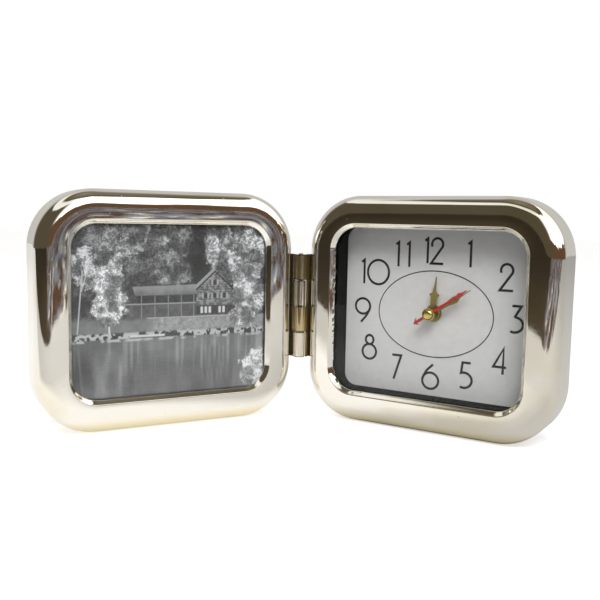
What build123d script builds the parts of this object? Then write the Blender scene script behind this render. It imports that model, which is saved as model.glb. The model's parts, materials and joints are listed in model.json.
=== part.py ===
from build123d import *
from math import cos, pi, radians, sin
import os

# A folding travel alarm clock: two plated cases on one vertical hinge, a quartz alarm clock
# in one and a framed picture in the other. It stands open on the bottom edges of the cases.
# Millimetres. +Z is up, -Y is the front, and X runs along the two cases.
# The origin is the middle of the footprint, on the surface that the clock stands on.
# Inside a case, depths are measured from its face: 0 is the face, negative is further back.

# --- the two cases -----------------------------------------------------------
OPENING = 120.0            # angle between the two halves as it stands
CASE_WIDTH = 79.2
CASE_HEIGHT = 70.0
CASE_DEPTH = 15.0
CORNER = 17.0              # corner radius of the outline
SHOULDER = 4.5             # rounding from the face to the side walls
WALL = 1.2
FACE_THICKNESS = 1.6
BEZEL_WIDTH = 8.6          # outline to the crease around the window
LIP_WIDTH = 1.2            # slanted lip inside the crease
COVER_THICKNESS = 1.6
FIT_GAP = 0.3
OVERRUN = 1.0              # how far a cutting shape runs past what it cuts
PICK_BAND = 0.05           # edges this close to a depth are picked as lying at it

# --- the hinge ---------------------------------------------------------------
AXIS_TO_WALL = 1.7         # the leaves lie flat on the side walls
AXIS_AHEAD = 0.2           # the axis lies this far in front of the faces
HINGE_LENGTH = 33.0
KNUCKLES = 4
KNUCKLE_GAP = 0.2
BARREL_RADIUS = 1.7
PIN_RADIUS = 0.75
PIN_CLEARANCE = 0.05
PIN_HEAD = 0.3
LEAF_THICKNESS = 0.7
LEAF_START = 1.75          # how far behind the axis the plate of a leaf begins
LEAF_END = 11.5
RIVET_RADIUS = 0.9
RIVET_HEAD_RADIUS = 1.6
RIVET_HEAD = 0.4
RIVET_SPACING = 20.0
RIVET_DEPTH = -7.6

# --- cover screws ------------------------------------------------------------
BOSS_RADIUS = 2.1
SCREW_RADIUS = 0.8
SCREW_HOLE = 1.0
SCREW_HEAD_RADIUS = 1.6
SCREW_HEAD_HOLE = 1.8
SCREW_HEAD = 0.9
SCREW_LENGTH = 6.0
SCREW_X = 35.0
SCREW_Y = 15.0
DRIVE_SLOT = 0.4

# --- layers of the clock, by the depth of each one's back --------------------
LENS_THICKNESS = 1.0
SHEET_MARGIN = 1.6         # how far lens, print and dial reach behind the bezel
SURROUND_GAP = 0.2
SURROUND_CORNER = 4.0      # the opening in front of the dial has tighter corners than the window
DIAL_FACE = -10.4
DIAL_THICKNESS = 0.8
ALARM_HAND_LEVEL = -10.05
HOUR_HAND_LEVEL = -9.2
MINUTE_HAND_LEVEL = -8.1
SECOND_HAND_LEVEL = -6.6
HAND_THICKNESS = 0.25
WHEEL_THICKNESS = 0.8
LAYER_PITCH = 1.0
ALARM_LAYER = -13.4
HOUR_LAYER = ALARM_LAYER - LAYER_PITCH
MOTION_LAYER = HOUR_LAYER - LAYER_PITCH
MIDDLE_PLATE = -16.6
CENTRE_LAYER = -17.6
THIRD_LAYER = CENTRE_LAYER - LAYER_PITCH
SECOND_LAYER = THIRD_LAYER - LAYER_PITCH
FAST_LAYER = SECOND_LAYER - LAYER_PITCH
BACK_PLATE = -21.8
PLATE_THICKNESS = 0.8
COVER_INSIDE = -22.8
COVER_BACK = -24.2

# --- the picture -------------------------------------------------------------
PRINT_THICKNESS = 0.3
BACKING_THICKNESS = 2.3
RIB_WIDTH, RIB_HEIGHT, RIB_CORNER, RIB_WALL = 58.0, 48.0, 6.0, 1.2
NOTCH_RADIUS = 5.0

# --- the movement, with places measured from the dial centre -----------------
MOVEMENT_SIZE = 56.0
MOVEMENT_CORNER = 3.0
MOVEMENT_WALL = 1.2
BASE_THICKNESS = 1.2
CHAMBER_BOTTOM = -13.4
PLATE_GAP = 0.2
PILLAR_RADIUS = 1.6
PILLAR_X, PILLAR_TOP, PILLAR_LOW = 24.2, 24.2, -10.8
SMALL_SCREW_RADIUS = 0.6
SMALL_SCREW_HEAD_RADIUS = 1.3
SMALL_SCREW_HEAD = 0.5
SMALL_SCREW_LENGTH = 3.5
BATTERY_RADIUS = 5.2
BATTERY_LENGTH = 43.0
BATTERY_Y = -20.6
BATTERY_DEPTH = -16.9
BATTERY_NUB_RADIUS = 1.9
BATTERY_NUB = 1.0
BAY_LENGTH = 50.0
BAY_HEIGHT = 12.4
CONTACT_THICKNESS = 0.3
CONTACT_WIDTH = 8.0
CONTACT_LEAF = 3.0
CONTACT_CORNER = 1.0
ALARM_CONTACT_AT = (15.0, 13.5)
BATTERY_EDGE = 0.4
BULGE_WIDTH = 61.0
BULGE_HEIGHT = 60.0
BULGE_CORNER = 6.0
BULGE_ROUND = 1.5
DOOR_LENGTH = 47.4
DOOR_HEIGHT = 10.8
DOOR_CORNER = 2.0
DOOR_RIBS, DOOR_RIBS_X, DOOR_RIB_PITCH, DOOR_RIB_WIDTH, DOOR_RIB_HEIGHT = 4, 17.7, 2.4, 1.0, 0.4
STATOR_THICKNESS = 0.8
STATOR_RING = 5.2
STATOR_HOLE = 3.4
STATOR_ARM = 3.0
MAGNET_RADIUS = 2.8
MAGNET_LENGTH = 1.7
COIL_X = 22.6
COIL_RADIUS = 1.5
COIL_LENGTH = 3.2
CORE_WIDTH = 1.0
BOBBIN_RADIUS = 1.0
BOBBIN_BORE = 0.8
BOBBIN_FLANGE = 0.4
BOARD_AT, BOARD_LENGTH, BOARD_HEIGHT = (13.6, 17.4), 17.0, 11.0
BOARD_CORNER = 1.0
BOARD_BACK = -18.0
CHIP_RADIUS, CHIP_HEIGHT = 2.4, 0.9
CRYSTAL_RADIUS, CRYSTAL_LENGTH = 0.95, 6.0
SOUNDER_AT, SOUNDER_RADIUS, SOUNDER_THICKNESS = (-17.0, 17.5), 7.2, 0.3
SOUND_SLOTS, SOUND_SLOT_LENGTH, SOUND_SLOT_WIDTH, SOUND_SLOT_PITCH = 4, 10.0, 1.0, 2.4
SWITCH_AT = (14.0, 18.0)   # centre of the alarm switch's travel
SWITCH_TRAVEL = 4.0
SWITCH_PLAY = 0.25
SWITCH_WIDTH, SWITCH_HEIGHT = 3.0, 2.2
SWITCH_FLANGE, SWITCH_FLANGE_THICKNESS = 5.0, 0.5

# --- gearing -----------------------------------------------------------------
MODULE = 0.25
RUNNING = 0.05             # radial clearance of a turning fit
ARBOR = 0.4
MINUTE_PIPE = 0.9
HOUR_PIPE = 1.45
ALARM_PIPE = 2.0
DIAL_HOLE = 2.4
STUD = 0.6
KNOB_SHAFT = 0.9
KNOB_RADIUS = 4.5
KNOB_HEIGHT = 3.0
KNOB_RIBS = 20
KNOB_GROOVE = 0.3
KNOB_GAP = 0.4
MINUTE_HUB_RADIUS = 1.0
SHAFT_HOLE = 1.2

SECOND_TEETH, SECOND_PINION = 48, 8
FAST_TEETH, FAST_PINION = 40, 8
ROTOR_PINION = 8
THIRD_TEETH, THIRD_PINION = 60, 8
CENTRE_TEETH = 64
CANNON_PINION = 12
MINUTE_TEETH, MINUTE_PINION = 36, 10
HOUR_TEETH = 40
SETTING_PINION = 12
ALARM_TEETH, ALARM_PINION = 60, 24
FEW_TEETH = 12             # up to this many, a gear gets the slimmer teeth of a pinion
# a tooth at its root, pitch line and tip: reach past the pitch line in modules, and half width
WHEEL_TOOTH = (-1.15, 0.0, 0.85), (0.54, 0.46, 0.16)
PINION_TOOTH = (-1.15, 0.0, 0.8), (0.36, 0.42, 0.20)

# directions seen from the front, in degrees anticlockwise from the clock's far end
THIRD_WAY = 215.0
FAST_WAY = -20.0
ROTOR_WAY = -10.0
MINUTE_WAY = 90.0
ALARM_WAY = 150.0

# the time that the hands show, in degrees clockwise from twelve
MINUTE_ANGLE = 57.0
HOUR_ANGLE = MINUTE_ANGLE / 12
SECOND_ANGLE = 55.5
ALARM_ANGLE = 0.0

# --- hands: where along the hand it is how wide --------------------------------
HOUR_HUB, HOUR_WAIST, HOUR_BULGE, HOUR_NECK, HOUR_TIP = 2.1, 4.3, 5.8, 7.4, 11.2
HOUR_HALF_WIDTHS = (0.95, 1.65, 0.35, 0.12)
MINUTE_HUB, MINUTE_WAIST, MINUTE_BULGE, MINUTE_NECK, MINUTE_TIP = 1.9, 5.0, 9.6, 11.2, 14.4
MINUTE_HALF_WIDTHS = (0.6, 0.85, 0.25, 0.1)
ALARM_HUB, ALARM_TIP, ALARM_HALF_WIDTH = 2.6, 7.6, 0.45
SECOND_HUB, SECOND_TIP, SECOND_TAIL = 1.4, 13.8, -5.9
SECOND_HALF_WIDTH, DIAMOND_AT, DIAMOND_LENGTH, DIAMOND_HALF_WIDTH = 0.45, 11.2, 1.7, 0.75
TAIL_ARROW, TAIL_HALF_WIDTH = 1.8, 1.3
CAP_RADIUS, CAP_HEIGHT, CAP_RIM = 1.95, 1.85, 0.4

LEAN = (180 - OPENING) / 2
COS, SIN = cos(radians(LEAN)), sin(radians(LEAN))
CENTRE_REACH = AXIS_TO_WALL + CASE_WIDTH / 2
WINDOW_WIDTH = CASE_WIDTH - 2 * (BEZEL_WIDTH + LIP_WIDTH)
WINDOW_HEIGHT = CASE_HEIGHT - 2 * (BEZEL_WIDTH + LIP_WIDTH)
WINDOW_CORNER = CORNER - BEZEL_WIDTH - LIP_WIDTH
CAVITY_WIDTH = CASE_WIDTH - 2 * WALL
CAVITY_HEIGHT = CASE_HEIGHT - 2 * WALL
CAVITY_CORNER = CORNER - WALL

# the footprint's front is the far shoulder of a case, its back the corner of the raised cover
front_reach = (AXIS_TO_WALL + CASE_WIDTH - SHOULDER) * SIN - (SHOULDER + AXIS_AHEAD) * COS + SHOULDER
bulge_near = CENTRE_REACH - BULGE_WIDTH / 2 + BULGE_ROUND
back_reach = BULGE_ROUND - bulge_near * SIN - (COVER_BACK + BULGE_ROUND - AXIS_AHEAD) * COS
HINGE_Y = (front_reach - back_reach) / 2

os.makedirs("parts", exist_ok=True)


def keep(builder, label):
    """Names a finished piece and writes it."""
    builder.part.label = label
    export_step(builder.part, f"parts/{label}.step")


# --- planes and places -----------------------------------------------------------
def case_plane(side):
    """Plane in a case's face: x level, y up, z out. side is +1 for the clock, -1 for the picture."""
    run = Vector(side * COS, -SIN, 0)
    normal = Vector(-side * SIN, -COS, 0)
    axis = Vector(0, HINGE_Y, CASE_HEIGHT / 2)
    return Plane(origin=axis + run * CENTRE_REACH - normal * AXIS_AHEAD, x_dir=run * side, z_dir=normal)


def hinge_plane(side, height):
    """Level plane on the hinge axis: x runs along one half, away from the axis."""
    run = Vector(side * COS, -SIN, 0)
    return Plane(origin=(0, HINGE_Y, height), x_dir=run, z_dir=(0, 0, 1))


CLOCK, PICTURE = case_plane(1), case_plane(-1)


def rivet_planes(side, reach):
    """Planes across a side wall at its two rivets, at a distance from the axis; z points to the axis."""
    face = CLOCK if side == 1 else PICTURE
    spots = [(side * (reach - CENTRE_REACH), step * RIVET_SPACING / 2, RIVET_DEPTH) for step in (-1, 1)]
    return [Plane(origin=face.from_local_coords(spot), z_dir=face.x_dir * -side) for spot in spots]


def polar(distance, way):
    """The point at a distance from the dial centre in a direction."""
    return (distance * cos(radians(way)), distance * sin(radians(way)))


def beyond(point, distance, way):
    """The point at a distance from another one."""
    step = polar(distance, way)
    return (point[0] + step[0], point[1] + step[1])


def mesh_distance(teeth, other):
    return MODULE * (teeth + other) / 2


CENTRE = (0.0, 0.0)
third_distance = mesh_distance(SECOND_PINION, THIRD_TEETH)
minute_distance = mesh_distance(CANNON_PINION, MINUTE_TEETH)
CENTRE_MODULE = 2 * third_distance / (THIRD_PINION + CENTRE_TEETH)
HOUR_MODULE = 2 * minute_distance / (MINUTE_PINION + HOUR_TEETH)
THIRD_AT = polar(third_distance, THIRD_WAY)
FAST_AT = polar(mesh_distance(FAST_PINION, SECOND_TEETH), FAST_WAY)
ROTOR_AT = beyond(FAST_AT, mesh_distance(ROTOR_PINION, FAST_TEETH), ROTOR_WAY)
MINUTE_AT = polar(minute_distance, MINUTE_WAY)
SETTING_AT = beyond(MINUTE_AT, mesh_distance(MINUTE_TEETH, SETTING_PINION), MINUTE_WAY)
ALARM_AT = polar(mesh_distance(ALARM_TEETH, ALARM_PINION), ALARM_WAY)
screw_points = [(x * SCREW_X, y * SCREW_Y) for x in (-1, 1) for y in (-1, 1)]
pillar_points = [(x * PILLAR_X, y) for x in (-1, 1) for y in (PILLAR_LOW, PILLAR_TOP)]


# --- shapes that repeat ------------------------------------------------------------
def slab(plane, width, height, corner, thickness, at=CENTRE, mode=Mode.ADD):
    """Adds or cuts a plate with rounded corners that starts on the plane."""
    with BuildSketch(plane) as outline:
        with Locations(at):
            RectangleRounded(width, height, corner)
    extrude(outline.sketch, amount=thickness, mode=mode)


def rods(plane, radius, length, points=(CENTRE,), mode=Mode.ADD):
    """Adds or cuts round bars that start on the plane."""
    with BuildSketch(plane) as circles:
        with Locations(*points):
            Circle(radius)
    extrude(circles.sketch, amount=length, mode=mode)


def gear(plane, teeth, module, phase, at, thickness=WHEEL_THICKNESS):
    """Adds a toothed wheel. Half widths of a tooth at root, pitch line and tip are shares of half a pitch."""
    reaches, shares = PINION_TOOTH if teeth <= FEW_TEETH else WHEEL_TOOTH
    radii = [module * (teeth / 2 + reach) for reach in reaches]
    flank = [(radius, share * pi * module / 2 / radius) for radius, share in zip(radii, shares)]
    points = []
    for number in range(teeth):
        middle = radians(phase) + 2 * pi * number / teeth
        points += [(r * cos(middle - turn), r * sin(middle - turn)) for r, turn in flank]
        points += [(r * cos(middle + turn), r * sin(middle + turn)) for r, turn in reversed(flank)]
    with BuildSketch(plane) as outline:
        with Locations(at):
            Polygon(*points, align=None)
    extrude(outline.sketch, amount=thickness)


def mesh_phase(phase, teeth, way, other):
    """Direction of a tooth of the second gear that sets it in mesh with the first."""
    return way + 180 + 180 / other - (phase - way) * teeth / other


# --- the plated cases ----------------------------------------------------------------
def build_case(side, face, bosses):
    """A deep dish, open at the back, with a lipped window in its face."""
    depth_axis = Axis(face.origin, face.z_dir)
    back = face.offset(-CASE_DEPTH)
    with BuildPart() as case:
        slab(back, CASE_WIDTH, CASE_HEIGHT, CORNER, CASE_DEPTH)
        fillet(case.edges().group_by(depth_axis)[-1], radius=SHOULDER)
        slab(
            back, CAVITY_WIDTH, CAVITY_HEIGHT, CAVITY_CORNER, CASE_DEPTH - FACE_THICKNESS, mode=Mode.SUBTRACT
        )
        ceiling = face.offset(-FACE_THICKNESS)
        inner = case.edges().filter_by_position(
            depth_axis, -FACE_THICKNESS - PICK_BAND, -FACE_THICKNESS + PICK_BAND
        )
        fillet(inner, radius=SHOULDER - WALL)
        if bosses:
            start = back.offset(COVER_THICKNESS)
            rods(start, BOSS_RADIUS, CASE_DEPTH - COVER_THICKNESS - FACE_THICKNESS / 2, screw_points)
            rods(start, SCREW_RADIUS, SCREW_LENGTH, screw_points, mode=Mode.SUBTRACT)
        slab(
            ceiling.offset(-OVERRUN), WINDOW_WIDTH, WINDOW_HEIGHT, WINDOW_CORNER,
            FACE_THICKNESS + 2 * OVERRUN, mode=Mode.SUBTRACT,
        )
        rim = case.faces().filter_by(face).sort_by(depth_axis)[-1].inner_wires()[0]
        chamfer(rim.edges(), length=LIP_WIDTH)
        for plane in rivet_planes(side, AXIS_TO_WALL + WALL + OVERRUN):
            rods(plane, RIVET_RADIUS, AXIS_TO_WALL + WALL + OVERRUN, mode=Mode.SUBTRACT)
    return case


keep(build_case(1, CLOCK, bosses=True), "clock_case")
keep(build_case(-1, PICTURE, bosses=False), "picture_case")


# --- the hinge -----------------------------------------------------------------------
knuckle = HINGE_LENGTH / KNUCKLES
hinge_bottom = (CASE_HEIGHT - HINGE_LENGTH) / 2
leaf_outside = BARREL_RADIUS - LEAF_THICKNESS


def build_leaf(side, numbers, bore):
    """A plate on the side wall, with a strap and a barrel at each of its knuckles."""
    middle = BARREL_RADIUS - LEAF_THICKNESS / 2
    with BuildPart() as leaf:
        with BuildSketch(hinge_plane(side, hinge_bottom)):
            with Locations((middle, side * (LEAF_START + LEAF_END) / 2)):
                Rectangle(LEAF_THICKNESS, LEAF_END - LEAF_START)
        extrude(amount=HINGE_LENGTH)
        for number in numbers:
            with BuildSketch(hinge_plane(side, hinge_bottom + number * knuckle + KNUCKLE_GAP / 2)):
                Circle(BARREL_RADIUS)
                with Locations((middle, side * LEAF_START / 2)):
                    Rectangle(LEAF_THICKNESS, LEAF_START + KNUCKLE_GAP)
                Circle(bore, mode=Mode.SUBTRACT)
            extrude(amount=knuckle - KNUCKLE_GAP)
        for plane in rivet_planes(side, BARREL_RADIUS + OVERRUN):
            rods(plane, RIVET_RADIUS, LEAF_THICKNESS + 2 * OVERRUN, mode=Mode.SUBTRACT)
    return leaf


keep(build_leaf(1, (1, 3), PIN_RADIUS), "hinge_leaf_clock")
keep(build_leaf(-1, (0, 2), PIN_RADIUS + PIN_CLEARANCE), "hinge_leaf_picture")

with BuildPart() as hinge_pin:
    rods(hinge_plane(1, hinge_bottom), PIN_RADIUS, HINGE_LENGTH + PIN_HEAD)
    fillet(hinge_pin.edges().group_by(Axis.Z)[-1], radius=PIN_HEAD)
keep(hinge_pin, "hinge_pin")


def build_rivets(side):
    """Two rivets through a leaf and the side wall, with a head at each end."""
    inside = AXIS_TO_WALL + WALL
    with BuildPart() as rivets:
        for plane in rivet_planes(side, inside + RIVET_HEAD):
            rods(plane, RIVET_RADIUS, inside + 2 * RIVET_HEAD - leaf_outside)
            rods(plane, RIVET_HEAD_RADIUS, RIVET_HEAD)
        for plane in rivet_planes(side, leaf_outside):
            rods(plane, RIVET_HEAD_RADIUS, RIVET_HEAD)
    return rivets


keep(build_rivets(1), "hinge_rivets_clock")
keep(build_rivets(-1), "hinge_rivets_picture")


# --- sheets behind the windows ---------------------------------------------------------
LENS_BACK = -FACE_THICKNESS - LENS_THICKNESS
SHEET_SIZE = (
    WINDOW_WIDTH + 2 * SHEET_MARGIN, WINDOW_HEIGHT + 2 * SHEET_MARGIN, WINDOW_CORNER + SHEET_MARGIN,
)


def build_sheet(face, back, thickness):
    """A flat sheet a little larger than the window."""
    with BuildPart() as sheet:
        slab(face.offset(back), *SHEET_SIZE, thickness)
    return sheet


print_back = LENS_BACK - PRINT_THICKNESS
backing_back = print_back - BACKING_THICKNESS
keep(build_sheet(CLOCK, LENS_BACK, LENS_THICKNESS), "clock_lens")
keep(build_sheet(PICTURE, LENS_BACK, LENS_THICKNESS), "picture_lens")
keep(build_sheet(PICTURE, print_back, PRINT_THICKNESS), "picture_print")
keep(build_sheet(PICTURE, backing_back, BACKING_THICKNESS), "picture_backing")

dial_corner = SURROUND_CORNER + SHEET_MARGIN - SURROUND_GAP
with BuildPart() as dial_surround:
    slab(CLOCK.offset(DIAL_FACE), *SHEET_SIZE[:2], dial_corner, LENS_BACK - DIAL_FACE)
    slab(
        CLOCK.offset(DIAL_FACE), WINDOW_WIDTH + 2 * SURROUND_GAP, WINDOW_HEIGHT + 2 * SURROUND_GAP,
        SURROUND_CORNER, LENS_BACK - DIAL_FACE, mode=Mode.SUBTRACT,
    )
keep(dial_surround, "dial_surround")

dial_back = DIAL_FACE - DIAL_THICKNESS
with BuildPart() as dial:
    slab(CLOCK.offset(dial_back), *SHEET_SIZE[:2], dial_corner, DIAL_THICKNESS)
    rods(CLOCK.offset(dial_back), DIAL_HOLE, DIAL_THICKNESS, mode=Mode.SUBTRACT)
keep(dial, "dial")


# --- the covers ------------------------------------------------------------------------
def cover_plate(face):
    """Adds the flat plate that closes the back of a case."""
    slab(
        face.offset(-CASE_DEPTH), CAVITY_WIDTH - 2 * FIT_GAP, CAVITY_HEIGHT - 2 * FIT_GAP,
        CAVITY_CORNER - FIT_GAP, COVER_THICKNESS,
    )


cover_front = -CASE_DEPTH + COVER_THICKNESS
with BuildPart() as picture_back_cover:
    cover_plate(PICTURE)
    slab(
        PICTURE.offset(cover_front), RIB_WIDTH, RIB_HEIGHT, RIB_CORNER, backing_back - cover_front,
    )
    slab(
        PICTURE.offset(cover_front), RIB_WIDTH - 2 * RIB_WALL, RIB_HEIGHT - 2 * RIB_WALL,
        RIB_CORNER - RIB_WALL, backing_back - cover_front, mode=Mode.SUBTRACT,
    )
    notch_at = (0, CAVITY_HEIGHT / 2)
    rods(PICTURE.offset(-CASE_DEPTH), NOTCH_RADIUS, COVER_THICKNESS, (notch_at,), mode=Mode.SUBTRACT)
keep(picture_back_cover, "picture_back_cover")

clock_depth_axis = Axis(CLOCK.origin, CLOCK.z_dir)
with BuildPart() as clock_back_cover:
    slab(CLOCK.offset(COVER_BACK), BULGE_WIDTH, BULGE_HEIGHT, BULGE_CORNER, cover_front - COVER_BACK)
    fillet(clock_back_cover.edges().group_by(clock_depth_axis)[0], radius=BULGE_ROUND)
    cover_plate(CLOCK)
    cover_wall = COVER_INSIDE - COVER_BACK
    slab(
        CLOCK.offset(COVER_INSIDE), BULGE_WIDTH - 2 * cover_wall, BULGE_HEIGHT - 2 * cover_wall,
        BULGE_CORNER - cover_wall, cover_front - COVER_INSIDE, mode=Mode.SUBTRACT,
    )
    rods(CLOCK.offset(COVER_BACK), SHAFT_HOLE, cover_wall, (SETTING_AT, ALARM_AT), mode=Mode.SUBTRACT)
    rods(CLOCK.offset(-CASE_DEPTH), SCREW_HOLE, COVER_THICKNESS, screw_points, mode=Mode.SUBTRACT)
    rods(CLOCK.offset(-CASE_DEPTH), SCREW_HEAD_HOLE, SCREW_HEAD, screw_points, mode=Mode.SUBTRACT)
    slab(
        CLOCK.offset(COVER_BACK), DOOR_LENGTH + 2 * FIT_GAP, DOOR_HEIGHT + 2 * FIT_GAP,
        DOOR_CORNER + FIT_GAP, cover_wall, (0, BATTERY_Y), mode=Mode.SUBTRACT,
    )
    with BuildSketch(CLOCK.offset(COVER_BACK)):
        with Locations(SWITCH_AT):
            Rectangle(SWITCH_WIDTH + SWITCH_TRAVEL + 2 * FIT_GAP, SWITCH_HEIGHT + 2 * FIT_GAP)
        with Locations(SOUNDER_AT):
            with GridLocations(0, SOUND_SLOT_PITCH, 1, SOUND_SLOTS):
                SlotOverall(SOUND_SLOT_LENGTH, SOUND_SLOT_WIDTH)
    extrude(amount=cover_wall, mode=Mode.SUBTRACT)
keep(clock_back_cover, "clock_back_cover")

with BuildPart() as cover_screws:
    rods(CLOCK.offset(-CASE_DEPTH), SCREW_HEAD_RADIUS, SCREW_HEAD, screw_points)
    rods(CLOCK.offset(-CASE_DEPTH), SCREW_RADIUS, COVER_THICKNESS + SCREW_LENGTH - FIT_GAP, screw_points)
    with BuildSketch(CLOCK.offset(-CASE_DEPTH)):
        with Locations(*screw_points):
            Rectangle(2 * SCREW_RADIUS, DRIVE_SLOT)
            Rectangle(DRIVE_SLOT, 2 * SCREW_RADIUS)
    extrude(amount=DRIVE_SLOT, mode=Mode.SUBTRACT)
keep(cover_screws, "cover_screws")

with BuildPart() as battery_door:
    slab(CLOCK.offset(COVER_BACK), DOOR_LENGTH, DOOR_HEIGHT, DOOR_CORNER, cover_wall, (0, BATTERY_Y))
    with BuildSketch(CLOCK.offset(COVER_BACK)):
        with Locations((DOOR_RIBS_X, BATTERY_Y)):
            with GridLocations(DOOR_RIB_PITCH, 0, DOOR_RIBS, 1):
                Rectangle(DOOR_RIB_WIDTH, DOOR_HEIGHT / 2)
    extrude(amount=-DOOR_RIB_HEIGHT)
keep(battery_door, "battery_door")

with BuildPart() as alarm_switch:
    switch_rest = (SWITCH_AT[0] - SWITCH_TRAVEL / 2, SWITCH_AT[1])
    flange_back = COVER_INSIDE + SWITCH_PLAY
    with BuildSketch(CLOCK.offset(flange_back)):
        with Locations(switch_rest):
            Rectangle(SWITCH_FLANGE + SWITCH_WIDTH, SWITCH_FLANGE)
    extrude(amount=SWITCH_FLANGE_THICKNESS)
    with BuildSketch(CLOCK.offset(flange_back)):
        with Locations(switch_rest):
            Rectangle(SWITCH_WIDTH, SWITCH_HEIGHT)
    extrude(amount=COVER_BACK - OVERRUN - flange_back)
keep(alarm_switch, "alarm_switch")


# --- the movement's plates ---------------------------------------------------------------
plate_front = BACK_PLATE + PLATE_THICKNESS
chamber_top = MOVEMENT_SIZE / 2 - MOVEMENT_WALL
chamber_width = MOVEMENT_SIZE - 2 * MOVEMENT_WALL
chamber_height = chamber_top - CHAMBER_BOTTOM
chamber_at = (0, (chamber_top + CHAMBER_BOTTOM) / 2)
base_back = dial_back - BASE_THICKNESS
middle_front = MIDDLE_PLATE + PLATE_THICKNESS
pivot = ARBOR + RUNNING
shaft_bore = KNOB_SHAFT + RUNNING
base_height = dial_back - plate_front
with BuildPart() as movement_base:
    slab(CLOCK.offset(plate_front), MOVEMENT_SIZE, MOVEMENT_SIZE, MOVEMENT_CORNER, base_height)
    slab(
        CLOCK.offset(plate_front), chamber_width, chamber_height, MOVEMENT_WALL,
        base_back - plate_front, chamber_at, mode=Mode.SUBTRACT,
    )
    slab(
        CLOCK.offset(plate_front), BAY_LENGTH, BAY_HEIGHT, MOVEMENT_WALL, base_height,
        (0, BATTERY_Y), mode=Mode.SUBTRACT,
    )
    rods(CLOCK.offset(middle_front), PILLAR_RADIUS, base_back - middle_front, pillar_points)
    rods(CLOCK.offset(base_back), ALARM_PIPE + RUNNING, BASE_THICKNESS, mode=Mode.SUBTRACT)
    rods(CLOCK.offset(base_back), shaft_bore, BASE_THICKNESS, (SETTING_AT, ALARM_AT), mode=Mode.SUBTRACT)
keep(movement_base, "movement_base")

with BuildPart() as movement_middle_plate:
    slab(
        CLOCK.offset(MIDDLE_PLATE), chamber_width - PLATE_GAP, chamber_height - PLATE_GAP, MOVEMENT_WALL,
        PLATE_THICKNESS, chamber_at,
    )
    rods(CLOCK.offset(plate_front), PILLAR_RADIUS, MIDDLE_PLATE - plate_front, pillar_points)
    rods(CLOCK.offset(middle_front), STUD, ALARM_LAYER - FIT_GAP - middle_front, (MINUTE_AT,))
    rods(CLOCK.offset(MIDDLE_PLATE), MINUTE_PIPE + RUNNING, PLATE_THICKNESS, mode=Mode.SUBTRACT)
    rods(CLOCK.offset(MIDDLE_PLATE), pivot, PLATE_THICKNESS, (THIRD_AT, ROTOR_AT), mode=Mode.SUBTRACT)
    rods(
        CLOCK.offset(MIDDLE_PLATE), shaft_bore, PLATE_THICKNESS, (SETTING_AT, ALARM_AT), mode=Mode.SUBTRACT
    )
    rods(CLOCK.offset(plate_front), SMALL_SCREW_RADIUS, SMALL_SCREW_LENGTH, pillar_points, mode=Mode.SUBTRACT)
keep(movement_middle_plate, "movement_middle_plate")

with BuildPart() as movement_back_plate:
    cover_height = MOVEMENT_SIZE / 2 - CHAMBER_BOTTOM + MOVEMENT_WALL / 2
    cover_at = (0, MOVEMENT_SIZE / 2 - cover_height / 2)
    slab(
        CLOCK.offset(BACK_PLATE), MOVEMENT_SIZE, cover_height, MOVEMENT_CORNER, PLATE_THICKNESS, cover_at,
    )
    rods(CLOCK.offset(plate_front), ARBOR, SECOND_LAYER + WHEEL_THICKNESS - plate_front, (FAST_AT,))
    rods(
        CLOCK.offset(BACK_PLATE), pivot, PLATE_THICKNESS, (CENTRE, THIRD_AT, ROTOR_AT), mode=Mode.SUBTRACT
    )
    rods(CLOCK.offset(BACK_PLATE), shaft_bore, PLATE_THICKNESS, (SETTING_AT, ALARM_AT), mode=Mode.SUBTRACT)
    rods(CLOCK.offset(BACK_PLATE), SMALL_SCREW_RADIUS, PLATE_THICKNESS, pillar_points, mode=Mode.SUBTRACT)
keep(movement_back_plate, "movement_back_plate")

with BuildPart() as movement_screws:
    head_back = BACK_PLATE - SMALL_SCREW_HEAD
    rods(CLOCK.offset(head_back), SMALL_SCREW_HEAD_RADIUS, SMALL_SCREW_HEAD, pillar_points)
    rods(
        CLOCK.offset(BACK_PLATE), SMALL_SCREW_RADIUS, PLATE_THICKNESS + SMALL_SCREW_LENGTH - FIT_GAP,
        pillar_points,
    )
keep(movement_screws, "movement_screws")


# --- the motor and its circuit --------------------------------------------------------------
with BuildPart() as stator:
    arm_y = STATOR_RING - STATOR_ARM / 2
    with BuildSketch(CLOCK.offset(THIRD_LAYER)):
        with Locations(ROTOR_AT):
            Circle(STATOR_RING)
        with Locations(((ROTOR_AT[0] + COIL_X) / 2, ROTOR_AT[1])):
            with GridLocations(0, 2 * arm_y, 1, 2):
                Rectangle(COIL_X - ROTOR_AT[0] + STATOR_ARM, STATOR_ARM)
        with Locations((COIL_X, ROTOR_AT[1])):
            Rectangle(CORE_WIDTH, 2 * arm_y)
        with Locations(ROTOR_AT):
            Circle(STATOR_HOLE, mode=Mode.SUBTRACT)
    extrude(amount=STATOR_THICKNESS)
keep(stator, "stator")

coil_start = (COIL_X, ROTOR_AT[1] - COIL_LENGTH / 2, THIRD_LAYER + STATOR_THICKNESS / 2)
coil_plane = Plane(origin=CLOCK.from_local_coords(coil_start), x_dir=CLOCK.x_dir, z_dir=(0, 0, 1))
flange_start = coil_plane.offset(-BOBBIN_FLANGE)
with BuildPart() as coil_bobbin:
    rods(flange_start, COIL_RADIUS, BOBBIN_FLANGE)
    rods(coil_plane.offset(COIL_LENGTH), COIL_RADIUS, BOBBIN_FLANGE)
    rods(coil_plane, BOBBIN_RADIUS, COIL_LENGTH)
    rods(flange_start, BOBBIN_BORE, COIL_LENGTH + 2 * BOBBIN_FLANGE, mode=Mode.SUBTRACT)
keep(coil_bobbin, "coil_bobbin")

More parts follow.
